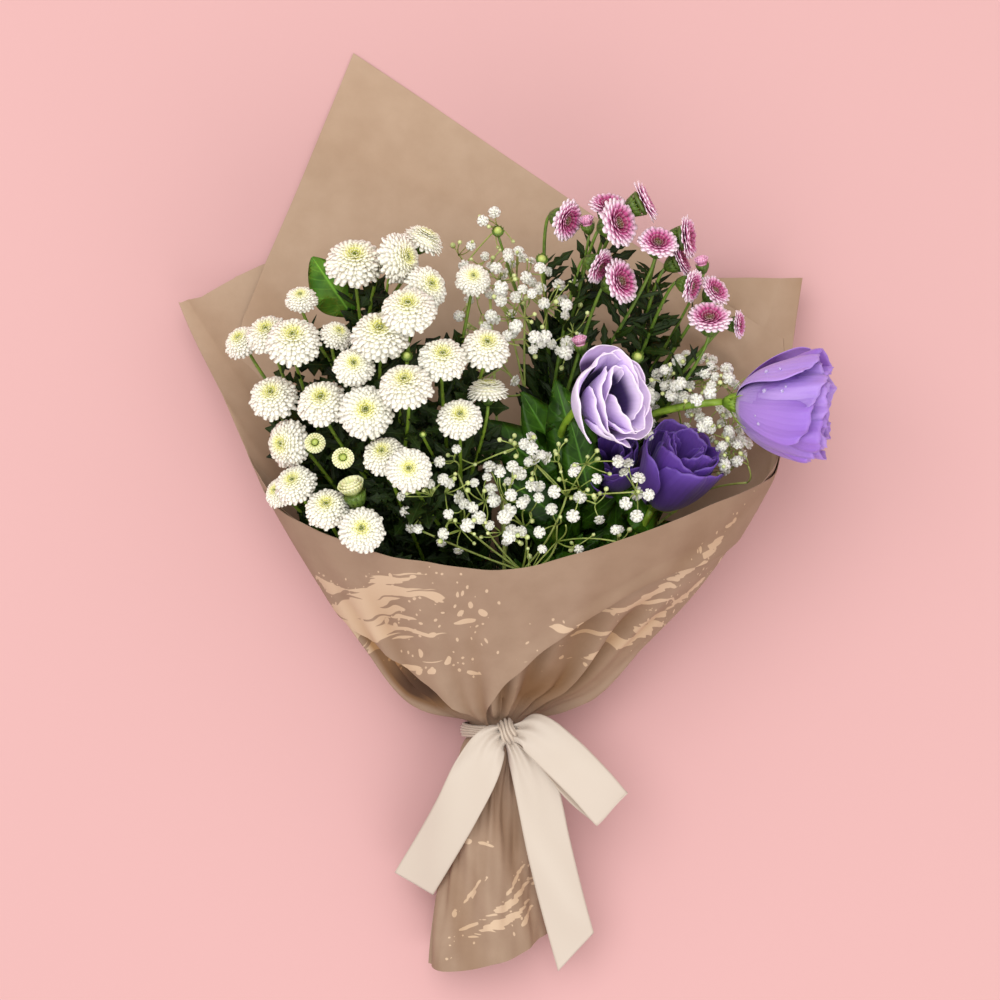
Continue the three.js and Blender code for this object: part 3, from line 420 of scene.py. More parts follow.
# Strokes of the paper's splashed print, as seen from above: [x, y, half length, half width, turn
# in degrees], in mm.
SPLASHES = [
    [-73, -51, 27, 9, 5], [-81, -62, 20, 6, -6], [-57, -35, 17, 4, 12], [-43, -43, 16, 2.4, 5],
    [-65, -43, 24, 4.5, 8], [-92, -37, 10, 4, -40], [-46, -55, 13, 2, 0], [-47, -80, 18, 2.2, 8],
    [-18, -57, 8, 1.6, 0], [33, -58, 9, 1.6, 3], [-15, -85, 5, 1.4, -10], [-66, -82, 15, 3, -50],
    [70, -53, 27, 2.2, 8], [84, -46, 17, 2, 25], [101, -32, 21, 2.6, 48], [114, -17, 17, 3.2, 52],
    [78, -70, 17, 2.6, 35], [62, -79, 18, 2, 20], [89, -59, 19, 2.4, 46], [51, -70, 14, 1.4, 10],
    [106, -44, 15, 1.8, 54], [-15, -211, 10, 1.4, 50], [9, -216, 18, 2, 40], [4, -227, 22, 2.4, 32],
    [12, -204, 12, 1.3, 60], [-15, -231, 9, 1.4, 25], [-10, -184, 8, 1.3, -15], [18, -224, 9, 1.6, 45],
]
PAPER_FIBRES = 420.0  # noise scales are turns per metre
BRISTLES = 40.0
BRISTLE_TURNS = (-6, -36)  # degrees, on the left and on the right of BRISTLE_SPLIT
BRISTLE_SPLIT = 0.012
DROPS = (150.0, 340.0)
DROP_SIZE = 0.32
DROP_REACH = 2.3  # how far drops fly, in strokes
WARP = 0.016  # how far the print's outlines wander, in metres


def stroke_distance(f, flat):
    """Distance to the nearest stroke's middle, in half lengths along it and half widths across."""
    nearest = None
    for x, y, long, wide, turn in SPLASHES:
        before, here, after = girth_of(np.array([x - 1.0, x, x + 1.0]), np.full(3, float(y)))
        run, rise = (after - before) / 2 * math.cos(math.radians(turn)), math.sin(math.radians(turn))
        local = f.node("Mapping", flat, vector_type="TEXTURE").node
        local.inputs["Location"].default_value = (here * MM + WARP / 2, y * MM + WARP / 2, 0.0)
        local.inputs["Rotation"].default_value = (0.0, 0.0, math.atan2(rise, run))
        local.inputs["Scale"].default_value = (long * MM * math.hypot(run, rise), wide * MM, 1.0)
        far = f.vector("LENGTH", local.outputs[0])
        nearest = far if nearest is None else f.math("MINIMUM", nearest, far)
    return nearest


def paper_print(f, place, girth_place):
    """Share of the print at a place: strokes that noise drawn out along them frays, and drops."""
    warp = f.node("TexNoise", place, None, 30.0, 2.0, 0.5, out=1)
    warped = f.vector("MULTIPLY_ADD", warp, (WARP, WARP, 0.0), girth_place)
    flat = f.vector("MULTIPLY", warped, (1.0, 1.0, 0.0))
    nearest = stroke_distance(f, flat)
    sides = []
    for turn in BRISTLE_TURNS:
        bristle = f.node("Mapping", warped).node
        bristle.inputs["Rotation"].default_value = (0.0, 0.0, math.radians(turn))
        bristle.inputs["Scale"].default_value = (BRISTLES * 0.6, BRISTLES * 9, 1.0)
        sides.append(f.noise(bristle.outputs[0], 1.0, 1.5, 0.5))
    right = f.math("GREATER_THAN", f.node("SeparateXYZ", girth_place), BRISTLE_SPLIT)
    gaps = f.math("MULTIPLY_ADD", right, f.math("SUBTRACT", sides[1], sides[0]), sides[0])
    ragged = f.math("MULTIPLY_ADD", gaps, 2.4, nearest)
    stroke = f.step(ragged, 2.02, 1.97)
    drops = []
    for cells in DROPS:
        chance = f.node("SeparateColor", f.node("TexVoronoi", flat, None, cells, out=1))
        size = f.step(chance, 0.5, 1.0, 0.0, DROP_SIZE)
        drops.append(f.math("LESS_THAN", f.node("TexVoronoi", flat, None, cells), size))
    near = f.math("LESS_THAN", nearest, DROP_REACH)
    return f.math("MAXIMUM", stroke, f.math("MULTIPLY", f.math("MAXIMUM", *drops), near))


def paper_finish(wrap):
    """Kraft paper, plain inside, with a lighter splashed print outside, and shade painted into its folds,
    tucks and the hollow under the front flap.
    """
    f = Finish("kraft paper", wrap.paper_roughness, Specular_IOR_Level=0.35)
    place = f.place()
    shown, _, deep, side = f.marks()
    outside = f.math("SUBTRACT", shown, side)
    printed = f.math("MULTIPLY", paper_print(f, place, f.node("TexCoord", out=2)), outside)
    mottle = f.noise(place, 60.0, 4.0)
    shade = f.step(mottle, 0.2, 0.8, 0.25, 0.75)
    outer = f.blend(shade, tuple(wrap.outer_dark), tuple(wrap.outer_light))
    inner = f.blend(shade, tuple(wrap.inner_dark), tuple(wrap.inner_light))
    base = f.blend(side, outer, inner)
    face = f.blend(printed, base, tuple(wrap.print_colour))
    # Painted shade: the sheet's third finish value darkens the colour, and darkens it further where it runs
    # past 1.
    shaded = f.blend(deep, face, tint(201, 175, 139), "MULTIPLY")
    f.colour(f.blend(f.step(deep, 1.0, 2.0), shaded, tint(150, 130, 118), "MULTIPLY"))
    fibre = f.noise(place, PAPER_FIBRES, 5.0, 0.7)
    return f.bump(f.math("ADD", fibre, f.math("MULTIPLY", mottle, 2.0)), 0.12, 0.0006).material


def satin_finish(ribbon):
    """Cream satin: fine crosswise threads, a soft sheen, and slightly warmer along its selvedges."""
    f = Finish("cream satin", 0.42, Sheen_Weight=0.25, Specular_IOR_Level=0.4, Anisotropic=0.4)
    thread = f.node("TexWave", f.node("TexCoord", out=2), 900.0, 1.5, 2.0, out=1, bands_direction="Y")
    _, across, _, side = f.marks()
    edge = f.step(f.math("ABSOLUTE", across), 0.86, 1.0)
    face = f.blend(edge, tuple(ribbon.satin), tuple(ribbon.selvedge))
    f.colour(f.blend(side, face, tuple(ribbon.satin_back)))
    return f.bump(thread, 0.12, 0.0001).material


def twine_finish():
    f = Finish("twine", 0.9)
    strand = f.node("TexWave", f.place(), 260.0, 6.0, 2.0, out=1)
    f.colour(f.blend(strand, tint(150, 112, 66), tint(203, 168, 118)))
    return f.bump(strand, 0.6, 0.0005).material


def petal_finish(name, stops, tip, tip_share, depth, glow):
    """Petals coloured by their distance from the head's axis, paler at each tip, with faint veins, and
    shade painted towards each petal's foot.
    """
    f = Finish(name, 0.62, Subsurface_Weight=glow, Subsurface_Scale=0.008,
               Subsurface_Radius=(1.0, 0.95, 0.75))
    along, outwards, chance, _ = f.marks()
    wander = f.math("MULTIPLY_ADD", f.math("SUBTRACT", chance, 0.5), 0.08, outwards)
    ground = f.ramp(wander, stops)
    tipped = f.blend(f.step(along, 0.72, 1.0, 0.0, tip_share), ground, tip)
    # Painted shade: each petal darkens towards its foot, deep among the others, by the share depth.
    f.colour(f.blend(f.step(along, 0.5, 0.1, 0.0, depth), tipped, stops[1][1], "MULTIPLY"))
    streak = f.noise(f.place(), 900.0, 2.0)
    return f.bump(streak, 0.12, 0.0004).material


def bloom_finish(name, stops, rim, throat, rim_share):
    """Thin ruffled petals: colour runs from the base to the rim, veined lengthwise. The side mark is
    0 on outer faces, 0.5 on inner ones and 1 in the innermost whorl, where the dark throat is longest:
    the throat is shade painted on the inner faces deep in the cup."""
    f = Finish(name, 0.5, Subsurface_Weight=0.25, Subsurface_Scale=0.006, Subsurface_Radius=(0.8, 0.6, 1.0),
               Sheen_Weight=0.1)
    along, across, chance, side = f.marks()
    cloud = f.noise(f.place(), 45.0, 4.0)
    ground = f.ramp(f.math("MULTIPLY_ADD", cloud, 0.16, f.math("SUBTRACT", along, 0.08)), stops)
    vein = f.math("SINE", f.math("MULTIPLY_ADD", across, 46.0, f.math("MULTIPLY", cloud, 9.0)))
    fine = f.step(vein, 0.55, 1.0, 0.0, 0.07)
    veined = f.blend(fine, ground, tuple(0.6 * c for c in stops[-1][1][:3]) + (1.0,))
    varied = f.blend(f.math("MULTIPLY", chance, 0.4), veined, rim)
    lit = f.blend(f.step(along, 0.93, 1.0, 0.0, rim_share), varied, rim)
    reach = f.math("MULTIPLY_ADD", side, -0.5, along)
    # Painted shade: inner faces darken to the throat colour towards the base, deep inside the cup.
    inside = f.math("MULTIPLY", f.math("GREATER_THAN", side, 0.2), f.step(reach, 0.42, 0.15, 0.0, 0.97))
    f.colour(f.blend(inside, lit, throat))
    return f.bump(f.math("ADD", f.math("MULTIPLY", vein, 0.3), cloud), 0.25, 0.0006).material


def leaf_finish(name, dark, light, gloss):
    """Waxy leaf with a pale midrib, side veins that slant to the edge, and mottled green."""
    f = Finish(name, gloss, Subsurface_Weight=0.06, Subsurface_Scale=0.003, Specular_IOR_Level=0.2)
    along, across, chance, _ = f.marks()
    out = f.math("ABSOLUTE", across)
    slant = f.math("MULTIPLY_ADD", out, -9.0, f.math("MULTIPLY", along, 44.0))
    ribs = f.step(f.math("SINE", slant), 0.82, 1.0)
    midrib = f.step(out, 0.1, 0.0)
    vein = f.math("MAXIMUM", f.math("MULTIPLY", ribs, 0.25), midrib)
    mottle = f.noise(f.place(), 120.0, 3.0)
    blade = f.blend(f.step(f.math("ADD", mottle, f.math("MULTIPLY", chance, 0.5)), 0.35, 1.1), dark, light)
    pale = tuple(min(1.0, 2.2 * c + 0.02) for c in light[:3]) + (1.0,)
    f.colour(f.blend(f.math("MULTIPLY", vein, 0.5), blade, pale))
    return f.bump(f.math("SUBTRACT", mottle, vein), 0.35, 0.0008).material


def stem_finish(name, dark, light):
    """Smooth green or coloured tissue in fine streaks, lighter towards the tip."""
    f = Finish(name, 0.42, Subsurface_Weight=0.08, Subsurface_Scale=0.003)
    along = f.marks()[0]
    streak = f.noise(f.place(), 220.0, 3.0)
    f.colour(f.blend(f.step(f.math("ADD", streak, f.math("MULTIPLY", along, 0.35)), 0.3, 1.0), dark, light))
    return f.bump(streak, 0.3, 0.0006).material


def floret_finish():
    """Papery white petals, greener at the base of each."""
    f = Finish("papery white", 0.6, Subsurface_Weight=0.4, Subsurface_Scale=0.004,
               Subsurface_Radius=(1.0, 0.95, 0.8))
    stops = [(0.0, tint(206, 214, 150)), (0.4, tint(250, 248, 228)), (1.0, tint(255, 254, 244))]
    f.colour(f.ramp(f.marks()[0], stops))
    return f.bump(f.noise(f.place(), 1500.0, 2.0), 0.2, 0.0003).material


def water_finish():
    f = Finish("water", 0.03, Transmission_Weight=0.55, IOR=1.33, Specular_IOR_Level=0.9)
    return f.colour(tint(226, 212, 250)).material


# ---------------------------------------------------------------- the wrap's form
HALF_LEFT = curve_through([
    [-255, 33], [-200, 29], [-150, 23], [-126, 16.8], [-117, 16.8], [-112, 34], [-103, 52], [-76, 73],
    [-49, 92], [-20, 110], [12, 127], [64, 152], [118, 180], [260, 240],
])
HALF_RIGHT = curve_through([
    [-255, 33], [-200, 29], [-150, 23], [-126, 16.8], [-116, 16.8], [-110, 31], [-101, 52], [-76, 79],
    [-49, 105], [-20, 127], [6, 142], [26, 152], [82, 162], [131, 172], [260, 200],
])
MIDDLE_X = curve_through([[-255, -5], [-150, -2], [-120, 0], [260, 0]])
SIDE_Z = curve_through([
    [-255, 19], [-150, 25], [-126, 30], [-116, 30], [-80, 44], [-28, 58], [12, 68], [60, 48],
    [120, 26], [170, 16], [260, 9],
])
RIM_Y = -28.0
FRONT_Z = curve_through([
    [-255, 41], [-150, 45], [-126, 46.8], [-116, 46.8], [-106, 62], [-60, 106], [RIM_Y, 138],
    [10, 166], [260, 200],
])
BACK_Z = curve_through([
    [-255, 0], [-170, 3], [-126, 13.2], [-116, 13.2], [-100, 5], [-84, 0], [260, 0],
])
FLAT_SHARE = 0.3
PLEATS = 9
GIRTH_CHORDS = 48
PAPER_GAP = 3.4
SIDE_GAP = 1.2
CAD_PAPER = 0.8


def half_width(x, y):
    return np.where(x < 0, HALF_LEFT(y), HALF_RIGHT(y))


def dish_height(share, y):
    """Height of the back sheet under a share of the half width: flat, then a parabola to the side."""
    return SIDE_Z(y) * np.clip((np.abs(share) - FLAT_SHARE) / (1 - FLAT_SHARE), 0, 1) ** 2


def section_point(angle, y):
    """Point of the paper at an angle round the bouquet (0 front, 90 right, 180 back) and a place
    along it: a half ellipse in front, the flat dish behind, and pleats that fade from the neck."""
    s, c = np.sin(angle), np.cos(angle)
    half = half_width(s, y)
    side = SIDE_Z(y)
    round_z = side + np.where(c > 0, FRONT_Z(y) - side, side - BACK_Z(y)) * c
    z = np.where(c > 0, round_z, mix(round_z, dish_height(s, y), smooth(-114, -86, y)))
    above = y - NECK[1]
    depth = np.where(above > 0, 0.1 * np.exp(-np.abs(above) / 16), 0.12 * np.exp(-np.abs(above) / 45))
    pleat = 1 + depth * smooth(4, 18, np.abs(above)) * np.cos(PLEATS * angle)
    return np.stack([MIDDLE_X(y) + half * s * pleat, y, side + (z - side) * pleat], axis=-1)


def paper_point(angle, y, out):
    """The section's point moved out along the paper's normal, and kept over the surface."""
    step = 0.01
    along = section_point(angle, y + step) - section_point(angle, y - step)
    over = section_point(angle + step, y) - section_point(angle - step, y)
    normal = unit(np.cross(along, over))
    point = section_point(angle, y) - np.asarray(out)[..., None] * normal
    point[..., 2] = np.maximum(point[..., 2], 0.0)
    return point


def back_angle(x, y):
    share = np.clip((x - MIDDLE_X(y)) / half_width(x, y), -1, 1)
    return np.pi - np.arcsin(share)


def girth(angle, y):
    """Length of the section from the front's middle to each angle: the sum of its chords."""
    share = np.linspace(0, 1, GIRTH_CHORDS + 1)
    points = section_point(angle[..., None] * share, y[..., None] + 0 * share)
    return np.sign(angle) * np.linalg.norm(np.diff(points, axis=-2), axis=-1).sum(-1)


def girth_of(x, y):
    """Girth to the places of the front that lie under x and y, seen from above."""
    return girth(np.arcsin(np.clip((x - MIDDLE_X(y)) / half_width(x, y), -1, 1)), y)


def girth_map(angle, y):
    """Each point's girth and length in metres, for both faces of a sheet, and whether the print shows
    there: it stops short of the back's middle, where the girth turns from one side to the other."""
    angle, y = np.broadcast_arrays(angle, y)
    angle = np.where(angle > np.pi, angle - 2 * np.pi, angle)
    places = np.stack([girth(angle, y), y], axis=-1).reshape(-1, 2) * MM
    shown = smooth(2.5, 2.3, np.abs(angle)).ravel()
    return np.tile(places, (2, 1)), np.tile(shown, 2)


def creases(angle, y, depth, seed):
    """Outward offset of the paper: soft gathers that spread from the neck, broad waves, and a few
    long shallow folds, each a rounded ridge along a straight line of the flat paper."""
    above = np.abs(y - NECK[1])
    near = smooth(3, 12, above) * np.exp(-above / 38)
    gather = np.sin(13 * angle + 2 * np.sin(3 * angle + seed)) + 0.6 * np.sin(29 * angle + seed)
    broad = np.sin(2.3 * angle + y / 41 + seed) + 0.6 * np.sin(5.1 * angle - y / 29 + 2 * seed)
    folds = np.zeros_like(angle + y)
    rows = np.random.default_rng(seed).uniform([-3.1, -1, 16], [3.1, 1, 40], (12, 3))
    for place, slant, width in rows:
        off = np.abs(70 * (angle - place) + slant * (y + 60)) / width
        folds += np.where(slant > 0, 1, -1) * np.exp(-np.minimum(off, 30) * 2.2)
    open_paper = smooth(10, 60, above)
    return depth * (2.6 * near * gather + open_paper * (0.5 * broad + 0.9 * folds))


BACK_EDGE_FRONT = [
    [-85, 20], [-72, 2], [-56, -10], [-40, -22], [-22, -36], [-6, -44], [10, -42], [26, -28],
    [42, -14], [58, 0], [73, 12], [86, 34],
]
BACK_EDGE_RIGHT = [[159, 97], [146, 105], [124, 120], [84, 147], [44, 175], [4, 202], [-40, 232], [-82, 260]]
BACK_EDGE_LEFT = [[-82, 260], [-98, 221], [-114, 182], [-131, 142], [-144, 108], [-150, 70]]
HEM_Y, HEM_SLANT = -244.0, 9.0
TUCK_DEPTH, TUCK_DEPTH_RIGHT = 9.0, 6.0  # how far the sheet is tucked in beside the front flap
TIP_RISE = 2.4  # how far it comes out again behind the flap's tip
EDGE_RISE = 0.9  # how close its top edge comes to the front sheet
CRUMPLE_DEPTH = 1.3
# Shares of painted shade between the crumples' ridges and in the skirt's troughs.
CRUMPLE_SHADE = 0.3
SKIRT_FOLDS, SKIRT_SHADE = (2.2, 0.8), 0.35


def straight(points, steps):
    """Points at even steps along a list of points, with its corners kept."""
    table = np.array(points, float)
    at = np.linspace(0, len(table) - 1, (len(table) - 1) * steps + 1)
    return np.stack([np.interp(at, np.arange(len(table)), column) for column in table.T], axis=-1)


def back_sheet_edge():
    """Angles of the columns round the sheet and the height of its top edge at each, with the two
    gaps between the front and the sides filled evenly."""
    front = straight(BACK_EDGE_FRONT, 8)
    sides = np.concatenate([straight(BACK_EDGE_RIGHT, 10), straight(BACK_EDGE_LEFT, 12)[1:]])
    front = np.stack([np.radians(front[:, 0]), front[:, 1]], axis=-1)
    sides = np.stack([back_angle(sides[:, 0], sides[:, 1]), sides[:, 1]], axis=-1)
    right_gap = np.linspace(front[-1], sides[0], 9)[1:-1]
    left_gap = np.linspace(sides[-1], front[0] + [2 * np.pi, 0], 11)[1:-1]
    return np.concatenate([front, right_gap, sides, left_gap]).T


def crumples(angle, y):
    """Where the inside of the paper is crumpled, at the right, and its crossing ridges."""
    place = smooth(2.0, 2.3, angle) * smooth(2.95, 2.7, angle) * smooth(5, 30, y) * smooth(160, 125, y)
    ridges = np.cos(0.14 * y + 8 * angle + 0.9 * np.sin(0.05 * y - 4 * angle)) ** 2
    ridges = ridges + 0.8 * np.abs(np.cos(0.10 * y - 11 * angle + 0.8 * np.sin(0.07 * y))) ** 3
    return place, ridges


def back_sheet_lift(angle, y, rise, depth):
    """Outward offset of the back sheet, and the shade painted on it. Below the front sheet's flap it is
    tucked in and painted dark, the skirt runs in slanting waves with painted shade in their troughs,
    and the inside is crumpled at the right, with painted shade between the ridges."""
    lift = creases(angle, y, depth, 3)
    tuck = smooth(-117, -106, y) * smooth(-40, -70, y)
    left = smooth(-1.6, -1.3, angle) * smooth(-0.05, -0.3, angle)
    right = smooth(-0.15, 0.1, angle) * smooth(1.35, 0.9, angle)
    tucked = mix(TUCK_DEPTH, TUCK_DEPTH_RIGHT, right) + 2.4 * np.sin(19 * angle + 0.05 * y)
    lift = lift - tuck * (left + right) * tucked
    behind_tip = smooth(-117, -108, y) * smooth(-60, -90, y) * smooth(0.4, 0.15, np.abs(angle + 0.1))
    lift = lift + TIP_RISE * behind_tip
    flat_floor = smooth(0.2, 0.6, -np.cos(angle))
    lift = np.where(lift > 0, lift * (1 - flat_floor), lift)
    lift = lift + EDGE_RISE * smooth(0.7, 1.0, rise) * smooth(0.6, 0.85, np.abs(np.sin(angle)))
    # Painted shade: dark under the flap and in its tuck, darker still beside the neck, and more in the
    # skirt's troughs and between the crumples.
    painted_flap_shade = tuck * smooth(-2.0, -1.6, angle) * smooth(-0.05, -0.3, angle)
    shade = np.maximum(np.clip(-lift / 9, 0, 1) * (1 - 0.25 * right), painted_flap_shade)
    shade = shade + smooth(-80, -102, y) * smooth(-118, -110, y) * (0.8 * painted_flap_shade + 0.4 * tuck * right)
    turns = 4.2 * angle + 0.05 * (y - NECK[1])
    skirt = smooth(-128, -155, y) * np.clip(np.cos(angle), 0, 1) ** 0.5
    lift = lift + skirt * (SKIRT_FOLDS[0] * np.sin(turns) + SKIRT_FOLDS[1] * np.sin(2.3 * turns + 1))
    shade = shade + SKIRT_SHADE * skirt * np.clip(-np.sin(turns), 0, 1)
    crumpled, ridges = crumples(angle, y)
    shade = shade + CRUMPLE_SHADE * crumpled * np.clip(1 - ridges, 0, 1)
    return lift - 0.1 - CRUMPLE_DEPTH * crumpled * ridges, shade


def back_sheet_grid(depth):
    """Rows from the hem to the top edge, each at the angles of the columns round the sheet."""
    angle, top = back_sheet_edge()
    fall = np.linspace(0, 1, 34)[:-1, None]
    rise = np.linspace(0, 1, 120)[:, None] ** 1.4
    hem = HEM_Y + HEM_SLANT * (np.sin(angle) - 0.9 * np.cos(angle))
    y = np.concatenate([mix(hem, NECK[1], fall), mix(NECK[1], top, rise)])
    angle = np.broadcast_to(angle, y.shape)
    lift, shade = back_sheet_lift(angle, y, np.concatenate([0 * fall, rise]), depth)
    return paper_point(angle, y, lift), shade, girth_map(angle, y)


FRONT_RIM = [
    [-97, 118], [-96.5, 113], [-96, 108], [-95.5, 103], [-95, 98], [-93, 58], [-88, 14], [-70, 2],
    [-52, -8], [-29, -21], [0, RIM_Y], [20, -19], [37, -7], [54, 6], [71, 16], [86, 26], [93, 60],
    [95, 95], [95.5, 104], [96, 113], [96.5, 122], [97, 131],
]
FRONT_HEM = [
    [-98, 117], [-115, 121.5], [-121, 126.5], [-127.5, 132.5], [-136, 140.5], [-138, 80], [-128, 15],
    [-108, -24], [-80, -50], [-47, -80], [-14, -118], [3, -90], [26, -58], [44, -35], [74, -19],
    [110, 8], [134, 50], [134, 132], [130, 132], [124, 132], [115, 131.5], [99, 131],
]
CORNERS = [4, 17]
FLAP_TIP = 10
FLAP_RISE = 2.0


def edge_through(table, corners):
    """Function through [angle, y] rows by row number: smooth between the corners, sharp at them."""
    cuts = [0, *corners, len(table) - 1]
    rows = [[i, math.radians(angle), y] for i, (angle, y) in enumerate(table)]
    spans = [curve_through(rows[a:b + 1]) for a, b in zip(cuts, cuts[1:])]

    def at(u):
        which = np.searchsorted(corners, u, side="right")
        return np.select([(which == i)[:, None] for i in range(len(spans))], [span(u) for span in spans])

    return at


def front_sheet_grid(depth):
    """Columns from the left corner to the right one, rows from the hem to the rim."""
    u = np.linspace(0, len(FRONT_RIM) - 1, (len(FRONT_RIM) - 1) * 12 + 1)
    v = np.linspace(0, 1, 56)[:, None, None]
    hem = edge_through(FRONT_HEM, [CORNERS[0], FLAP_TIP, CORNERS[1]])(u)
    rim = edge_through(FRONT_RIM, CORNERS)(u)
    angle, y = np.moveaxis(mix(hem[None], rim[None], v), -1, 0)
    flap = smooth(0.30, 0.0, v[..., 0]) * smooth(1.6, 0.9, np.abs(angle)) * smooth(-118, -104, y)
    gap = mix(SIDE_GAP, PAPER_GAP, np.clip(np.cos(angle), 0, 1) ** 0.5) + CAD_PAPER - 0.6
    lift = creases(angle, y, depth, 3)
    grid = paper_point(angle, y, gap + lift + FLAP_RISE * flap)
    # Painted shade in the valleys of the creases, at most half of full fold shade.
    return grid, np.clip(-lift / 5, 0, 0.5), girth_map(angle, y)


# ---------------------------------------------------------------- the ribbon
BAND_RADIUS = 18.9
BAND_Y = (-125.2, -118.2)
KNOT = np.array([5.5, -121.0, 51.9])
KNOT_AXIS = np.array([0.94, 0.34, 0.0])
KNOT_LENGTH = 34.0
# Stations [x, y, z, width, tilt in degrees]
LEFT_TAIL = [
    [4, -121, 53, 9, 0], [-4, -127, 58, 19, 0], [-12, -143, 58, 25, -4], [-23, -165, 51, 25, -8],
    [-35, -187, 39, 25, -8], [-47, -208, 25, 25, -5],
]
RIGHT_TAIL = [
    [7, -124, 52, 9, 0], [14, -134, 53.5, 18, 4], [21, -152, 53, 24, 6], [28, -185, 49, 25, 5],
    [36, -218, 39, 25, 3], [43.5, -246, 27, 25, 0],
]
LOOP = [
    [8, -121, 54, 10, 0], [19, -121, 60, 22, 0], [34, -133, 63, 25, 0], [50, -149, 60, 25, 0],
    [61, -162, 54.5, 25, 0], [62.5, -163.5, 52, 25, 0], [59, -160.5, 49.5, 25, 0],
    [45, -149, 50, 24, 0], [24, -131, 55, 14, 0], [9, -122, 53, 8, 0],
]
LOOP_ACROSS = np.array([-0.715, -0.70, 0.0])


def catmull(table, steps):
    """Smooth curve through the stations: uniform Catmull-Rom, with the ends reflected."""
    p = np.array(table, float)
    p = np.concatenate([[2 * p[0] - p[1]], p, [2 * p[-1] - p[-2]]])
    at = np.linspace(0, len(p) - 3, steps)
    i = np.minimum(at.astype(int), len(p) - 4)
    t = (at - i)[:, None]
    a, b, c, d = p[i], p[i + 1], p[i + 2], p[i + 3]
    return 0.5 * (2 * b + (c - a) * t + (2 * a - 5 * b + 4 * c - d) * t**2 + (3 * b - a - 3 * c + d) * t**3)


def ribbon_strip(stations, gather, cut=0.0, arch=1.2, steps=90, curl=0.0, flat=None):
    """Flat strip along the stations: it arches a little across, and near its narrow root it gathers
    into folds, so that its cut width stays the same."""
    table = catmull(stations, steps)
    path, width, tilt = table[:, :3], table[:, 3], np.radians(table[:, 4])
    tangent = unit(np.gradient(path, axis=0))
    if flat is None:
        flat = unit(np.stack([tangent[:, 1], -tangent[:, 0], 0 * tilt], axis=-1))
    across = flat * np.cos(tilt)[:, None] + np.array([0, 0, 1]) * np.sin(tilt)[:, None]
    across = unit(across - (across * tangent).sum(1, keepdims=True) * tangent)
    up = np.cross(across, tangent)
    t = np.linspace(0, 1, steps)[:, None]
    u = np.linspace(-1, 1, 25)[None, :]
    pinch = 1 - width[:, None] / RIBBON_WIDTH
    folds = gather * np.clip(pinch, 0, 1) * np.sin(u * 9.5 + 1.1)
    crown = arch * (1 - u * u) * (1 - np.clip(pinch, 0, 1))
    crown = crown + 0.8 * np.sin(11 * t + 2.2 * u) * smooth(0.0, 0.3, t)
    roll = curl * np.clip(u, 0, 1) ** 3 * np.exp(-((t - 0.32) / 0.16) ** 2)
    slant = cut * u * smooth(0.8, 1.0, t)
    return (
        path[:, None]
        + (u * width[:, None] / 2)[..., None] * across[:, None]
        + (folds + crown + roll)[..., None] * up[:, None]
        + slant[..., None] * tangent[:, None]
    )


# ---------------------------------------------------------------- flower heads and blooms
SEAT_DEPTH = 0.28
HEAD_COUNTS = {
    "white": {"top": 7, "left": 5, "middle": 6, "right": 6, "low": 4},
    "pink": {"crown": 7, "side": 6},
}


class Head:
    """A head's centre, axis and radius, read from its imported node: the node's largest flat face is
    the seat, which faces down the axis."""

    def __init__(self, colour, spray, number):
        self.colour, self.spray, self.number = colour, spray, number
        self.node = f"{colour}_head_{spray}_{number}"
        points, faces = node_points(self.node) / MM - SHIFT, node_faces(self.node)
        a, b, c = (points[faces[:, i]] for i in range(3))
        cross = np.cross(b - a, c - a)
        area, normal = np.linalg.norm(cross, axis=1), unit(cross)
        alike = normal @ normal.T > 0.9995
        seat = alike[np.argmax(alike @ area)]
        weight = area[seat][:, None]
        self.axis = -unit((normal[seat] * weight).sum(0))
        self.seat = (((a + b + c) / 3)[seat] * weight).sum(0) / weight.sum()
        reach = points - self.seat
        off = reach - (reach @ self.axis)[:, None] * self.axis
        self.radius = np.linalg.norm(off, axis=1).max() / 1.02
        self.centre = self.seat + SEAT_DEPTH * self.radius * self.axis


HEADS = [
    Head(colour, spray, i + 1)
    for colour, sprays in HEAD_COUNTS.items()
    for spray, count in sprays.items()
    for i in range(count)
]

# Rings of petals: [count, tip radius, tip height, foot radius, foot height, width, curl], in shares
# of the head's radius, from the eye out to the fringe.
WHITE_RINGS = [
    [6, 0.05, 0.33, 0.01, 0.24, 0.07, 0.1], [9, 0.12, 0.41, 0.03, 0.25, 0.085, 0.15],
    [12, 0.19, 0.46, 0.05, 0.28, 0.10, 0.14], [15, 0.28, 0.50, 0.08, 0.33, 0.125, 0.10],
    [18, 0.38, 0.515, 0.12, 0.37, 0.15, 0.06], [21, 0.49, 0.50, 0.18, 0.38, 0.17, 0.02],
    [24, 0.61, 0.45, 0.26, 0.36, 0.185, -0.02], [27, 0.73, 0.37, 0.36, 0.31, 0.195, -0.05],
    [29, 0.85, 0.25, 0.46, 0.22, 0.205, -0.08], [29, 0.95, 0.10, 0.52, 0.11, 0.21, -0.10],
    [26, 1.0, -0.07, 0.52, 0.02, 0.21, -0.12], [20, 0.97, -0.24, 0.48, -0.06, 0.21, -0.14],
]
PINK_RINGS = [
    [7, 0.08, 0.12, 0.02, 0.02, 0.08, 0.1], [10, 0.16, 0.14, 0.05, 0.02, 0.10, 0.15],
    [13, 0.25, 0.18, 0.10, 0.03, 0.12, 0.15], [14, 0.42, 0.27, 0.18, 0.05, 0.18, 0.1],
    [16, 0.62, 0.34, 0.24, 0.07, 0.23, 0.04], [19, 0.82, 0.35, 0.30, 0.08, 0.25, -0.02],
    [20, 0.95, 0.26, 0.35, 0.06, 0.27, -0.06], [19, 1.0, 0.13, 0.38, 0.02, 0.27, -0.08],
]
PETAL_OUTLINE = np.array([0.42, 0.72, 0.96, 1.0, 0.55])


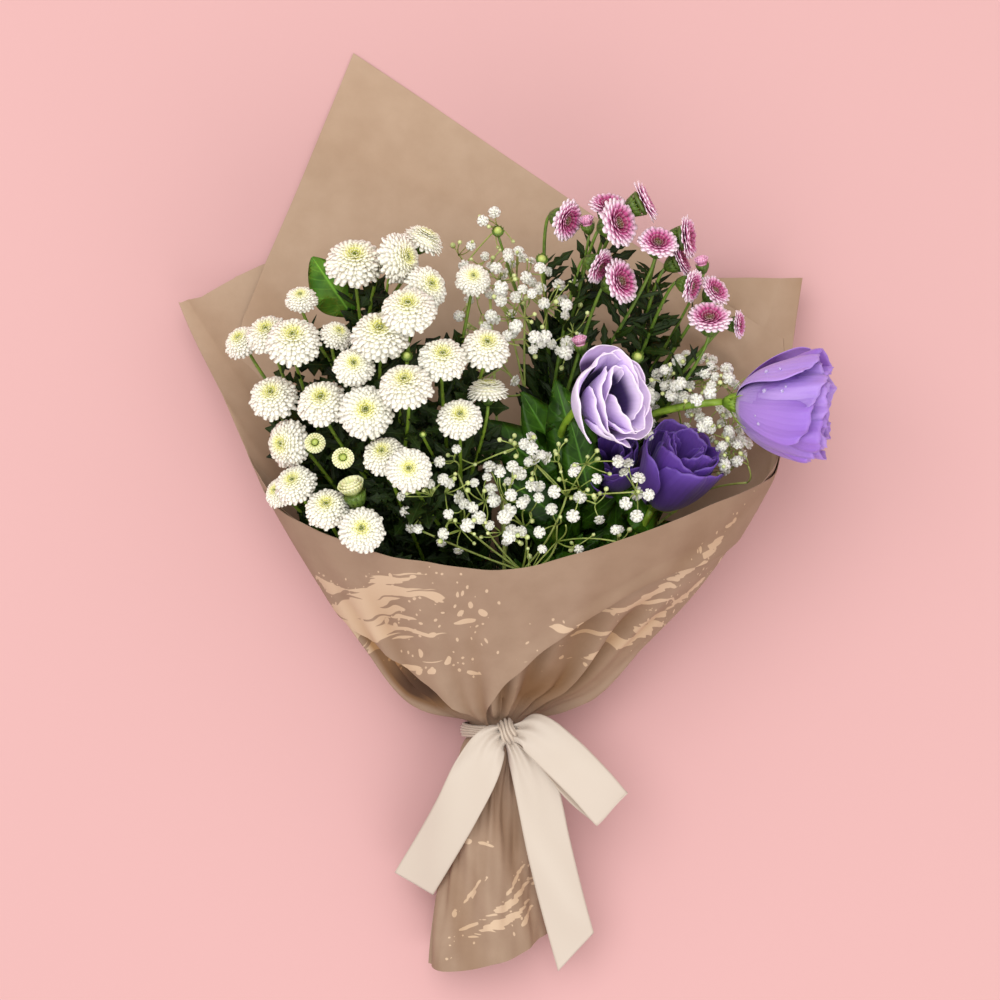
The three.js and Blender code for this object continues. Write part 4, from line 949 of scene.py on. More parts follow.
def head_petals(body, head, rings, rng, thick):
    """Rings of petals round the head's axis. Each runs from a foot near the axis to a tip, and its
    upper face is the run turned a quarter back towards the axis."""
    for row, (count, tip_r, tip_z, foot_r, foot_z, width, curl) in enumerate(rings):
        turn = (np.arange(count) + rng.uniform(-0.22, 0.22, count)) / count * 2 * np.pi + row * 2.1
        out = spokes(head.axis, turn)
        tip_r = tip_r * rng.uniform(0.92, 1.06, count)
        tip_z = tip_z + rng.uniform(-0.035, 0.035, count)
        run_r, run_z = (tip_r - foot_r)[:, None], (tip_z - foot_z)[:, None]
        along = unit(run_r * out + run_z * head.axis)
        up = unit(run_r * head.axis - run_z * out)
        length = head.radius * np.hypot(run_r, run_z)[:, 0]
        base = head.centre + head.radius * (foot_r * out + foot_z * head.axis)
        widths = PETAL_OUTLINE * (1.22 * width * head.radius / length)[:, None]
        verts, faces, finish = blades(
            base, along, up, length, widths, curl, 0.07, thick, PETAL_SECTION, rng.random(count)
        )
        reach = verts - head.centre
        off = reach - (reach @ head.axis)[:, None] * head.axis
        finish[:, 1] = np.linalg.norm(off, axis=1) / head.radius
        body.add(verts, faces, finish)


def lathe(origin, axis, profile, sides):
    """Closed round body: each profile row is a ring's radius and its height along the axis."""
    ring = spokes(axis, even_turns(sides))
    points = np.array([origin + radius * ring + height * axis for radius, height in profile])[None]
    along = np.linspace(0, 1, len(profile))[None, :, None]
    return *loft_many(points), marks(points.shape[:3], along, 0, 0, 0)


# Whorls of petals: [count, reach, spread, height, flare at the rim, ruffle, first turn]
FRONT_WHORLS = [
    [3, 0.98, 1.25, 0.86, 0.12, 0.04, 3.3], [3, 0.87, 1.2, 0.96, 0.18, 0.055, 2.2],
    [3, 0.75, 1.2, 1.03, 0.24, 0.06, 1.3], [3, 0.60, 1.25, 1.06, 0.24, 0.065, 0.4],
]
SIDE_WHORLS = [
    [5, 1.0, 0.84, 0.93, 0.03, 0.055, 0.3], [5, 0.90, 0.84, 1.03, 0.07, 0.085, 0.9],
    [5, 0.72, 0.9, 1.07, 0.10, 0.11, 0.2], [4, 0.52, 1.0, 1.06, 0.10, 0.12, 0.7],
]
DEEP_WHORLS = [
    [3, 1.0, 1.25, 0.98, 0.06, 0.05, 0.2], [3, 0.84, 1.2, 1.05, 0.08, 0.06, 1.2],
    [3, 0.64, 1.2, 1.06, 0.08, 0.07, 0.5], [2, 0.42, 1.4, 1.02, 0.05, 0.07, 0.1],
]
# Dark body in a bloom's middle that stands in for the shade deep in the cup: rows of radius and height, in
# shares of the bloom's radius and depth.
THROAT = [[0.06, 0.05], [0.2, 0.2], [0.24, 0.4], [0.18, 0.52], [0.04, 0.56]]
# A bloom stands at a pixel and height, and its width and length are pixels. Its form is its radius at
# the base, what it gains, how soon, and its breadth for its length at the middle and at the outer
# petals. Opening is how far its middle lies off its axis, in mm.
BLOOMS = {
    "lilac_front": {
        "at": (602, 400, 140), "width": 84, "length": 62, "lean": (14, 30),
        "form": (0.2, 0.80, 0.7, 0.30, 0.88), "whorls": FRONT_WHORLS,
        "opening": np.array([8.0, 0.0, 0.0]),
    },
    "lilac_side": {
        "at": (777, 405, 108), "width": 96, "length": 84, "lean": (-4, 80),
        "form": (0.1, 0.9, 0.55, 1.0, 1.0), "whorls": SIDE_WHORLS, "opening": np.zeros(3),
    },
    "violet_right": {
        "at": (670, 477, 92), "width": 74, "length": 74, "lean": (62, 54),
        "form": (0.2, 0.8, 0.6, 0.7, 1.0), "whorls": DEEP_WHORLS, "opening": np.array([2.0, 3.0, 0.0]),
    },
    "violet_left": {
        "at": (612, 468, 80), "width": 64, "length": 60, "lean": (100, 30),
        "form": (0.2, 0.8, 0.6, 0.7, 1.0), "whorls": DEEP_WHORLS, "opening": np.zeros(3),
    },
}
for bloom in BLOOMS.values():
    bloom["axis"] = lean_axis(*bloom["lean"])
    bloom["radius"] = bloom["width"] * MM_PER_PIXEL / 2
    bloom["depth"] = bloom["length"] * MM_PER_PIXEL
    bloom["seat"] = seen(*bloom["at"]) - 0.5 * bloom["depth"] * bloom["axis"]


def bloom_petal(bloom, turn, whorl, phase, rows=24, columns=31):
    """One petal of the cup as a grid: the radius swells from the base and turns out at the rim, the
    rim ripples, and one side lies further out than the other, so that neighbours overlap."""
    _, reach, spread, height, flare, ruffle, _ = whorl
    base, gain, power, slim, broad = bloom["form"]
    t = np.linspace(0, 1, rows)[:, None]
    s = np.linspace(-1, 1, columns)[None, :]
    swell = np.sin(t * np.pi * 0.58) ** power
    rim = smooth(0.35, 1.0, t)
    ripple = np.cos(2.6 * s + phase) + 0.6 * np.cos(6.1 * s + 2.3 * phase) + 0.3 * np.cos(13 * s + phase)
    crease = 0.055 * smooth(0.1, 0.6, t) * np.abs(np.sin(3.1 * s + phase + 0.5 * t)) ** 4
    share = base + gain * swell + ruffle * rim * rim * ripple + flare * rim**3 - crease
    r = bloom["radius"] * reach * share * (1 + 0.17 * s)
    wide = 0.65 + 0.35 * np.sin(t * 2.6)
    a = turn + s * spread * wide
    lobes = 1.03 - 0.16 * s * s + 0.016 * np.cos(7 * s + 3 * phase) + 0.008 * np.cos(19 * s + phase)
    rise = bloom["depth"] * height * t * mix(1.0, lobes, smooth(0.3, 1.0, t))
    off = bloom["opening"] * (1 - reach)
    u, v = square_to(bloom["axis"])
    thin = mix(slim, broad, (reach - 0.5) / 0.5)
    grid = (
        bloom["seat"] + off * smooth(0, 0.7, t)[..., None]
        + (r * np.cos(a))[..., None] * u + (thin * r * np.sin(a))[..., None] * v
        + (rise + 1)[..., None] * bloom["axis"]
    )
    return grid, t, s


def bloom_body(bloom, thick, seed):
    """Whorls of thin petals round a dark throat, a body that stands in for the shade deep in the cup.
    The inner faces are marked for bloom_finish.
    """
    rng = np.random.default_rng(seed)
    body = Body()
    for whorl in bloom["whorls"]:
        for i in range(whorl[0]):
            turn = (i / whorl[0]) * 2 * np.pi + whorl[6]
            grid, t, s = bloom_petal(bloom, turn, whorl, rng.uniform(0, 6.28))
            verts, faces, side = shell(grid, thick)
            side = (1 - side) * (1.0 if whorl is bloom["whorls"][-1] else 0.5)
            t, s = (np.tile(np.broadcast_to(v, grid.shape[:2]).ravel(), 2) for v in (t, s))
            body.add(verts, faces, np.stack([t, s, np.full(len(t), rng.random()), side], axis=-1))
    middle = bloom["seat"] + 0.45 * bloom["opening"]
    body.add(*lathe(middle, bloom["axis"], np.array(THROAT) * [bloom["radius"], bloom["depth"]], 16), 1)
    return body


# ---------------------------------------------------------------- stems, leaves and florets
STEM, LEAF, GREEN_BUD, PINK_BUD, OPEN_BUD, CUP, ROUND_LEAF = range(7)  # a spray's materials
# Each stem's place in the bundle, its fork's pixel and height, and its buds: pixel, width in pixels
# and material.
STEMS = {
    "white_spray_top": [(-1, 0), (352, 345, 70), [(389, 271, 8, GREEN_BUD)]],
    "white_spray_left": [(-2, 0), (302, 425, 62), [(315, 442, 19, GREEN_BUD)]],
    "white_spray_middle": [
        (-1, 1), (372, 455, 80), [(407, 354, 12, GREEN_BUD), (343, 457, 20, GREEN_BUD)],
    ],
    "white_spray_right": [(0, 0), (440, 440, 80), [(423, 433, 7, GREEN_BUD)]],
    "white_spray_low": [(-2, 1), (335, 545, 80), [(353, 490, 24, GREEN_BUD)]],
    "pink_spray_crown": [
        (1, 0), (560, 345, 62),
        [(542, 257, 13, GREEN_BUD), (587, 222, 15, PINK_BUD), (498, 229, 13, GREEN_BUD)],
    ],
    "pink_spray_side": [
        (1, -1), (640, 370, 50),
        [(702, 262, 14, PINK_BUD), (638, 355, 13, GREEN_BUD), (580, 342, 15, PINK_BUD)],
    ],
    "lisianthus_stem_front": [(1, 1), (598, 440, 60), []],
    "lisianthus_stem_back": [(2, -1), (640, 520, 46), []],
    "babys_breath_middle": [(0, 1), (505, 520, 84), []],
    "babys_breath_side": [(2, 0), (665, 500, 60), []],
}
SPRAY_SEED, LISIANTHUS_SEED, BREATH_SEED = 170, 210, 230
STEM_RADIUS = 2.1
BRANCH_RADIUS = 0.85


def dome_height(px, py):
    """How high a flower stands over the surface at each pixel."""
    x, y = seen(px, py, 120)[:2]
    if x > 20:
        return 118 - 0.0016 * (x - 60) ** 2 - 0.1 * max(0, y - 110)
    return 150 - 0.0062 * (x + 45) ** 2 - 34 * ((y - 45) / 100) ** 2


def main_stem(slot, fork):
    """Stem's route: straight from its cut end through its place in the bundle, then to its fork."""
    q, r = slot
    neck = NECK + np.array([STEM_PITCH * (q + r / 2), 0, STEM_PITCH * 0.866 * r])
    end = np.array([neck[0] - 3, STEM_END_Y - 3 * ((q + 2 * r) % 3), neck[2] - 9])
    low, rise = neck + [0, -20, -1], neck + [0, 12, 1]
    points = [end, low, neck, rise] + [mix(rise, seen(*fork), t) for t in (0.33, 0.66, 1)]
    return catmull(points, 44)


def point_along(path, t):
    """Point and direction at shares t of a path's length."""
    steps = np.linalg.norm(np.diff(path, axis=0), axis=1)
    at = np.concatenate([[0], np.cumsum(steps)]) / steps.sum()
    tangent = unit(np.gradient(path, axis=0))
    t = np.atleast_1d(t)
    point = np.stack([np.interp(t, at, c) for c in path.T], axis=-1)
    return point, unit(np.stack([np.interp(t, at, c) for c in tangent.T], axis=-1))


BLOOM_BALLS = [
    (b["seat"] + b["depth"] * rise * b["axis"], b["radius"] * share)
    for b in BLOOMS.values()
    for rise, share in ((0.2, 0.5), (0.5, 0.8), (0.85, 0.95))
]
# Places along the side bloom's stem that stay free of leaves and florets, and how far round them.
STEM_CLEARANCE = 6.5
STEM_PLACES = seen(np.linspace(655, 730, 7), np.linspace(414, 404, 7), 106.0)
BALL_CENTRES = np.array([h.centre for h in HEADS] + [c for c, r in BLOOM_BALLS] + list(STEM_PLACES))
BALL_RADII = np.array(
    [0.72 * h.radius for h in HEADS] + [r for c, r in BLOOM_BALLS] + [STEM_CLEARANCE] * len(STEM_PLACES)
)


def clear_of_flowers(points, margin=0.0):
    """Whether points (..., 3) lie outside every head and bloom."""
    gap = np.linalg.norm(points[..., None, :] - BALL_CENTRES, axis=-1) - BALL_RADII
    return (gap > margin).all(axis=-1)


def inside_wrap(points, margin):
    """Whether points lie over the back sheet and, where the front sheet covers them, under it."""
    x, y, z = np.moveaxis(points, -1, 0)
    half = half_width(x, y) - margin - 14 * smooth(-36, -62, y)
    share = np.clip((x - MIDDLE_X(y)) / np.maximum(half, 1), -1, 1)
    over = z > dish_height(share, y) + margin
    across = np.abs(x - MIDDLE_X(y)) < half
    tucked = 16 * smooth(-36, -62, y)
    roof = mix(SIDE_Z(y), FRONT_Z(y), np.sqrt(1 - share**2)) - margin - tucked
    open_top = y > RIM_Y + 40 * share**2 + margin
    return over & across & (open_top | (z < roof))


# Highest pixel row that leaves reach, for pixel columns from left to right.
LEAF_LIMIT = np.array([
    [259, 1000], [262, 385], [300, 340], [325, 300], [345, 268], [402, 268], [425, 300], [440, 335],
    [485, 322], [515, 300], [545, 240], [600, 215], [650, 222], [700, 285], [735, 330], [742, 1000],
])


def within_crowd(points):
    """Whether points lie, as the picture shows them, below the outline of the flowers."""
    x, y, z = np.moveaxis(points, -1, 0)
    limit = np.interp(PICTURE_CENTRE[0] + x / pixel_size(z), LEAF_LIMIT[:, 0], LEAF_LIMIT[:, 1])
    return PICTURE_CENTRE[1] - y / pixel_size(z) > limit


# Widths of a leaf from foot to tip, in shares of its length.
LOBED = [0.05, 0.16, 0.42, 0.20, 0.52, 0.22, 0.44, 0.17, 0.03]
SLIM_LOBED = [0.05, 0.11, 0.24, 0.15, 0.30, 0.16, 0.24, 0.12, 0.02]
NARROW = [0.04, 0.08, 0.12, 0.145, 0.15, 0.135, 0.1, 0.06, 0.01]


def oval_outline(width, rows, first=0.0, last=0.99, power=1.0):
    """Widths 0.02 + width sin(pi t^0.9)^power, broadest a little before the middle."""
    return 0.02 + width * np.sin(np.pi * np.linspace(first, last, rows) ** 0.9) ** power


OVAL = oval_outline(0.33, 13)
BROAD = oval_outline(0.46, 17)
ROUND = oval_outline(0.62, 27, 0.02, 0.995, 0.75)
LEAF_FOLD, LEAF_THICKNESS = 0.35, 0.35
STEEPNESS = 0.75  # how far leaves lean along their stem


def leaf_field(body, base, direction, length, widths, rng, paint, checked=True):
    """Leaves from their bases along their directions, each with its own droop and twist. A leaf that
    would pass through a flower or the paper is left out."""
    direction = unit(direction)
    if checked:
        at = base[:, None] + direction[:, None] * (length[:, None] * [0.45, 0.75, 1.0])[..., None]
        keep = (clear_of_flowers(at) & inside_wrap(at, 3.5) & within_crowd(at)).all(axis=1)
        base, direction, length = base[keep], direction[keep], length[keep]
    m = len(base)
    if not m:
        return
    side = unit(np.cross(direction, [0, 0, 1.0]) + 1e-4)
    up = np.cross(side, direction)
    roll = rng.uniform(-0.5, 0.5, m)[:, None]
    up = unit(np.cos(roll) * up + np.sin(roll) * side)
    droop = -rng.uniform(0.05, 0.28, m)
    body.add(*blades(base, direction, up, length, widths, droop, LEAF_FOLD, LEAF_THICKNESS, LEAF_SECTION,
                     rng.random(m), 0.25), paint)


def single_leaf(body, foot, tip, widths, rng, paint):
    """One leaf from a foot to a tip."""
    run = (tip - foot)[None]
    length = np.linalg.norm(run, axis=1)
    leaf_field(body, foot[None], run, length, widths, rng, paint, checked=False)


def random_leaves(body, path, share, count, sizes, widths, rng, spread=1.0):
    """Leaves at random round a stem between two shares of its length."""
    t = rng.uniform(*share, count)
    base, tangent = point_along(path, t)
    out = spokes(tangent, rng.uniform(0, 2 * np.pi, count))
    direction = STEEPNESS * tangent + spread * out
    direction[:, 2] = np.abs(direction[:, 2]) * 0.6 + 0.05
    leaf_field(body, base, direction, rng.uniform(*sizes, count), widths, rng, LEAF)


def green_cup(body, seat, axis, radius, depth, rng, bracts, paint):
    """Cup under a flower: a smooth bowl with three rows of pointed bracts pressed to its side."""
    profile = [(0.3, -1.0), (0.55, -0.82), (0.86, -0.5), (1.0, -0.2), (0.98, 0.0)]
    body.add(*lathe(seat, axis, [(r * radius, h * depth) for r, h in profile], 14), paint)
    for row in (0, 1, 2):
        out = spokes(axis, (np.arange(bracts) + 0.5 * row) / bracts * 2 * np.pi)
        base = seat + (0.84 - 0.2 * row) * radius * out - (0.5 + 0.2 * row) * depth * axis
        tip = seat + (1.14 - 0.1 * row) * radius * out + (0.14 - 0.24 * row) * depth * axis
        run = tip - base
        length = np.linalg.norm(run, axis=1)
        up = np.cross(run, np.cross(out, run))
        body.add(*blades(base, run, -up, length, [0.3, 0.42, 0.36, 0.2, 0.03], 0.05, 0.2, 0.3,
                         PETAL_SECTION, rng.random(bracts)), paint)


# Rings of petals on an opening bud: [count, foot, reach, rise], in shares of the bud's radius.
SHORT_BUD = [(22, 0.5, 1.02, 0.42), (18, 0.45, 0.84, 0.5), (14, 0.38, 0.64, 0.5)]
TALL_BUD = [(22, 0.62, 1.0, 0.8), (18, 0.55, 0.82, 1.0), (14, 0.45, 0.56, 1.1)]
TALL_BUD_RADIUS = 6.0
PINK_TUFT = [(16, 0.6, 0.92, 0.75), (12, 0.5, 0.66, 0.9), (9, 0.4, 0.3, 0.95)]
OPENING_SIZE = 13  # pixels across above which a bud shows its petals
WIDE_OPEN_SIZE = 22
BUD_PETAL = [0.45, 0.66, 0.7, 0.6, 0.3]


def bud_axis(size, paint):
    """Where a bud points: the smallest stand up, and the widest and the pink ones lean to the top."""
    if size > WIDE_OPEN_SIZE:
        return unit(np.array([-0.3, 0.85, 0.42]))
    if paint == PINK_BUD:
        return unit(np.array([-0.2, 0.9, 0.35]))
    return unit(np.array([0.1, -0.3, 0.95] if size > OPENING_SIZE else [0, 0.45, 0.85]))


def bud_head(body, tip, axis, r, opening, rng, paint):
    """Closed ball in a green cup, or where the bud is opening a cup with three rings of petals."""
    green_cup(body, tip - axis * r * 0.35, axis, r * 0.9, r * 1.3, rng, 12, CUP)
    full = 0.4 if opening and paint == GREEN_BUD else 0.66
    ball = [(math.sin(a) * r * full, -math.cos(a) * r * 0.7) for a in np.linspace(0.3, 3.0, 7)]
    body.add(*lathe(tip - axis * r * 0.5, axis, ball, 12), paint)
    if not opening:
        return
    rows = TALL_BUD if r > TALL_BUD_RADIUS else SHORT_BUD
    rows, paint = (PINK_TUFT, PINK_BUD) if paint == PINK_BUD else (rows, OPEN_BUD)
    for count, foot, reach, rise in rows:
        out = spokes(axis, np.arange(count) / count * 2 * np.pi + 3 * foot)
        base = tip + r * (foot * out - 0.1 * axis)
        run = r * ((reach - foot) * out + rise * axis)
        up = np.cross(np.cross(out, axis), run)
        body.add(*blades(base, run, -up, np.linalg.norm(run, axis=1), BUD_PETAL, 0.1, 0.2, 0.3,
                         PETAL_SECTION, rng.random(count)), paint)


def sepals(body, seat, axis, radius, rng):
    """Five narrow sepals that spread from the cup and lie against the petals' outside."""
    out = spokes(axis, (np.arange(5) + rng.uniform(-0.2, 0.2, 5)) / 5 * 2 * np.pi)
    along, up = unit(out * 1.1 + 0.5 * axis), unit(1.1 * axis - 0.5 * out)
    body.add(*blades(seat + radius * out, along, up, rng.uniform(11, 15, 5), [0.1, 0.12, 0.1, 0.06, 0.02],
                     0.28, 0.3, 0.4, PETAL_SECTION, rng.random(5)))


def grow_spray(name, ends, leaf_count, sizes, widths, rng, branch_radius=BRANCH_RADIUS, arch=0.22,
               cup_paint=STEM):
    """Stem, branches to its flowers and buds, and leaves, as one body."""
    slot, fork, buds = STEMS[name]
    body = Body()
    path = main_stem(slot, fork)
    taper = STEM_RADIUS * np.linspace(1, 0.72, len(path))
    body.add(*tubes(path[None], taper[None], 10))
    ends = sorted(ends, key=lambda e: e[0][1])
    reach = 0.4 if widths is OVAL else 1.0
    lobed_count = 16 if widths is SLIM_LOBED else 13
    for i, (seat, axis, cup_radius, depth) in enumerate(ends):
        start = point_along(path, mix(0.74, 0.995, i / max(1, len(ends) - 1)))[0]
        foot = seat - axis * depth
        far = np.linalg.norm(foot - start[0])
        control = foot - axis * min(41.0 * arch, arch * far) - [0, 0.06 * far, 0]
        branch = bend_paths(start, control, foot, 18)
        body.add(*tubes(branch, np.linspace(1.25, 1.0, 18)[None] * branch_radius, 8))
        green_cup(body, seat, axis, cup_radius, depth, rng, 16, cup_paint)
        random_leaves(body, branch[0], (0.15 * reach, 0.9 * reach), 8, (8, 17), NARROW, rng, 0.7)
        random_leaves(body, branch[0], (0.0, 0.75 * reach), lobed_count, (12, 24), widths, rng, 0.9)
    for px, py, size, paint in buds:
        r = size * MM_PER_PIXEL * 0.5
        axis = bud_axis(size, paint)
        tip = seen(px, py, dome_height(px, py) - 2)
        start = point_along(path, 0.92)[0]
        foot = tip - axis * 1.6 * r
        branch = bend_paths(start, mix(start, foot, 0.6) - axis * 6, foot, 14)
        body.add(*tubes(branch, np.linspace(1.0, 0.8, 14)[None], 6))
        bud_head(body, tip, axis, r, size > OPENING_SIZE, rng, paint)
    random_leaves(body, path, (0.52, 1.0), leaf_count, sizes, widths, rng)
    return body


# Clouds of baby's breath: middle pixel, spread in pixels, lowest and highest place, and how many
# florets and buds.
CLOUDS = {
    "babys_breath_middle": [
        [(522, 497), (128, 62), (126, 152), 74, 70], [(525, 320), (66, 62), (92, 132), 52, 34],
        [(490, 245), (40, 34), (80, 108), 14, 12],
    ],
    "babys_breath_side": [[(694, 420), (58, 66), (84, 118), 84, 50]],
}
FLORET, PALE_BUD = 1, 2  # the plant's materials, after that of its twigs
FLORET_RADIUS = 3.5
FLORET_GAP, BUD_GAP = 4.6, 3.0
# Whorls of a floret: petals, lean towards the axis, length, width, and height of the foot.
FLORET_WHORLS = [
    [7, 0.1, 1.0, 0.62, 0.0], [6, 0.6, 0.88, 0.66, 0.1], [5, 1.4, 0.68, 0.66, 0.18], [4, 3.0, 0.5, 0.6, 0.22],
]


def florets(body, centres, axes, sizes, rng, paint):
    """Double florets: whorls of broad petals that get fewer, shorter and steeper to the middle."""
    for count, lean, length, width, raise_by in FLORET_WHORLS:
        turn = (np.arange(count)[None] + rng.random((len(centres), 1))) / count * 2 * np.pi
        out = spokes(axes[:, None], turn + rng.uniform(-0.2, 0.2, turn.shape))
        along = unit(out + lean * axes[:, None])
        up = np.cross(along, np.cross(axes[:, None] - 0.4 * out, along))
        size = np.broadcast_to(sizes[:, None], turn.shape).ravel()
        base = (centres + raise_by * sizes[:, None] * axes)[:, None] + 0 * out
        body.add(*blades(base.reshape(-1, 3), along.reshape(-1, 3), up.reshape(-1, 3), size * length,
                         width * np.array([0.35, 1.2, 1.0]), -0.12, 0.2, 0.25, PETAL_SECTION,
                         rng.random(len(size))), paint)


def beads(body, centres, radii, axes, paint):
    """Small round buds: lathed balls of five rings, all at once."""
    ring = spokes(axes[:, None], even_turns(6))
    rows = [
        centres[:, None] + radii[:, None, None] * (math.sin(a) * ring - 1.15 * math.cos(a) * axes[:, None])
        for a in np.linspace(0.35, np.pi - 0.35, 5)
    ]
    points = np.stack(rows, axis=1)
    verts, faces = loft_many(points)
    body.add(verts, faces, marks(points.shape[:3], np.linspace(0, 1, 5)[None, :, None], 0, 0, 0), paint)


def cloud_spots(cloud, rng):
    """Places of a cloud's florets and then its buds, at random in an ellipse between two heights."""
    middle, spread, (low, high), flowers, buds = cloud
    tries = (flowers + buds) * 8
    share, turn = np.sqrt(rng.random(tries)), rng.uniform(0, 2 * np.pi, tries)
    height = mix(low, high, rng.random(tries)) - 10 * share**2
    across, down = spread[0] * share * np.cos(turn), spread[1] * share * np.sin(turn)
    spots = seen(middle[0] + across, middle[1] + down, height)
    chosen = []
    for spot in spots[clear_of_flowers(spots, 3.0) & inside_wrap(spots, 5)]:
        apart = FLORET_GAP if len(chosen) < flowers else BUD_GAP
        if all(np.linalg.norm(spot - other) > apart for other in chosen):
            chosen.append(spot)
        if len(chosen) == flowers + buds:
            break
    return np.array(chosen)


def nearest_of(places, points):
    """The place that is nearest to each point."""
    gaps = np.linalg.norm(points[:, None] - places[None], axis=-1)
    return places[np.argmin(gaps, axis=1)]


def grow_cloud(body, root, cloud, rng):
    """A cloud of florets and buds. Each stands on a twig from the nearest of a few forks, and the
    forks hang on knees of arms from one hub under the cloud."""
    middle, spread, (low, high), flowers, _ = cloud
    spots = cloud_spots(cloud, rng)
    level = np.array([1, 1, 0])
    forks = spots[::5] * level + rng.uniform(-4, 4, (len(spots[::5]), 3)) * level + [0, -5, 0]
    forks[:, 2] = mix(low, high, 0.25) - rng.uniform(3, 13, len(forks))
    knees = forks[::5] + [0, -9, -9]
    hub = seen(middle[0], middle[1] + spread[1] * 0.8 + 24, low - 24)
    body.add(*tubes(bend_paths(root, mix(root, hub, 0.5) + [0, 0, 4], hub, 12), 0.9, 6))
    hubs = np.broadcast_to(hub, knees.shape)
    arms = bend_paths(hubs, mix(hubs, knees, 0.5) + rng.uniform(-6, 6, knees.shape) - [0, 2, 3], knees, 10)
    body.add(*tubes(arms, 0.6, 5))
    starts = nearest_of(knees, forks)
    bends = mix(starts, forks, 0.6) + rng.uniform(-4, 4, forks.shape)
    body.add(*tubes(bend_paths(starts, bends, forks, 8), 0.45, 5))
    starts = nearest_of(forks, spots)
    axes = unit(unit(spots - starts) + [0, 0.1, 0.9])
    feet = spots - axes * 1.2
    bends = mix(starts, feet, 0.55) + rng.uniform(-3, 3, feet.shape)
    body.add(*tubes(bend_paths(starts, bends, feet, 8), 0.32, 4))
    size = FLORET_RADIUS * rng.uniform(0.72, 1.12, len(spots))
    is_open = np.arange(len(spots)) < flowers
    florets(body, spots[is_open], axes[is_open], size[is_open], rng, FLORET)
    beads(body, spots[is_open] - axes[is_open] * 0.6, 0.30 * size[is_open], axes[is_open], PALE_BUD)
    beads(body, spots[~is_open], 0.40 * size[~is_open], axes[~is_open], PALE_BUD)


# ---------------------------------------------------------------- the sheets' and ties' bodies
def sheet_body(grid, shade, thickness, ring=False, along=None):
    """Closed sheet with its outer face marked 0 and its inner one 1, its place on the flat cut, and the
    shade painted on each point in its folds. The first value is the share of the length unless it's given."""
    verts, faces, side = shell(grid, thickness, ring, -1.0)
    rows, columns = grid.shape[:2]
    if along is None:
        along = np.tile(np.repeat(np.linspace(0, 1, rows), columns), 2)
    across = np.tile(np.linspace(-1, 1, columns), 2 * rows)
    body = Body()
    # Painted shade: this value darkens the paper's colour in paper_finish, where shadow would fall.
    deep = np.tile(np.broadcast_to(shade, grid.shape[:2]).ravel(), 2)
    body.add(verts, faces, np.stack([along, across, deep, side], axis=-1))
    return body


def ribbon_piece(name, grid, ribbon, length, ring=False):
    """One stretch of the ribbon, with the length of the cut that it takes laid along its flat cut."""
    body = sheet_body(grid, 0.0, ribbon.ribbon_thickness / MM, ring)
    rows, columns = grid.shape[:2]
    run = np.repeat(np.linspace(0, length * MM, rows), columns)
    width = np.tile(np.linspace(0, RIBBON_WIDTH * MM, columns), rows)
    uv = np.tile(np.stack([width, run], axis=-1), (2, 1))
    piece = body.piece(name, [once(satin_finish, ribbon)], "ribbon_satin", ["ribbon"], None, uv)


def pleated_ring(centre, radii, width, pleats, depth, steps, axis):
    """Ribbon wound once round an ellipse: across its width it lies in pleats, so that the whole cut
    width fits in a narrow band. Rows run round the ellipse, columns across the ribbon."""
    turn = np.linspace(0, 2 * np.pi, steps)[:, None]
    u = np.linspace(-1, 1, pleats * 14 + 1)[None, :]
    height = depth * (1 + np.sin(np.pi * pleats * u + 0.5 * np.sin(2 * turn))) * (1 - 0.5 * u**8)
    bulge = 1.4 * depth * (1 - u * u)
    side, up = square_to(axis)
    radius_a, radius_b = radii[0] + height + bulge, radii[1] + height + bulge
    drift = u * width / 2 + 0.35 * np.sin(3 * turn + 2 * u)
    return (
        centre + (radius_a * np.cos(turn))[..., None] * side
        + (radius_b * np.sin(turn))[..., None] * up + drift[..., None] * axis
    )


def path_length(stations):
    return np.linalg.norm(np.diff(catmull(stations, 90)[:, :3], axis=0), axis=1).sum()


_made = {}


def once(make, *settings):
    """The material that a finish makes, made on first use. It is kept under its name, which is the
    first setting, or else under the finish's."""
    key = settings[0] if settings and isinstance(settings[0], str) else make.__name__
    if key not in _made:
        _made[key] = make(*settings)
    return _made[key]


def tissue(name, dark, light):
    return once(stem_finish, name, tint(*dark), tint(*light))


def white_petals(flowers):
    white, eye = tuple(flowers.white_petal), tuple(flowers.white_eye)
    stops = [
        (0.0, tint(84, 98, 12)), (0.08, tint(132, 142, 28)), (0.15, eye), (0.27, tint(240, 238, 162)),
        (0.44, tint(252, 250, 222)), (0.75, white),
    ]
    return once(petal_finish, "white petals", stops, white, 0.5, 0.03, 0.12)


def pink_petals(flowers):
    stops = [
        (0.0, tint(110, 92, 30)), (0.17, tint(112, 66, 34)), (0.27, tuple(flowers.pink_heart)),
        (0.50, tint(190, 62, 128)), (0.68, tuple(flowers.pink_petal)), (0.86, tint(253, 228, 241)),
    ]
    return once(petal_finish, "pink petals", stops, tint(255, 240, 248), 0.18, 0.0, 0.25)


def involucre():
    return tissue("green involucre", (44, 68, 14), (92, 118, 36))


# ---------------------------------------------------------------- settings
def colour_of(name, description, r, g, b):
    return FloatVectorProperty(
        name=name, description=description, default=tint(r, g, b), subtype="COLOR", size=4, min=0, max=1
    )


def thickness_of(name, what):
    return FloatProperty(
        name=name, description=f"Thickness of {what}", default=0.0004, min=0.0002, max=0.001, unit="LENGTH"
    )


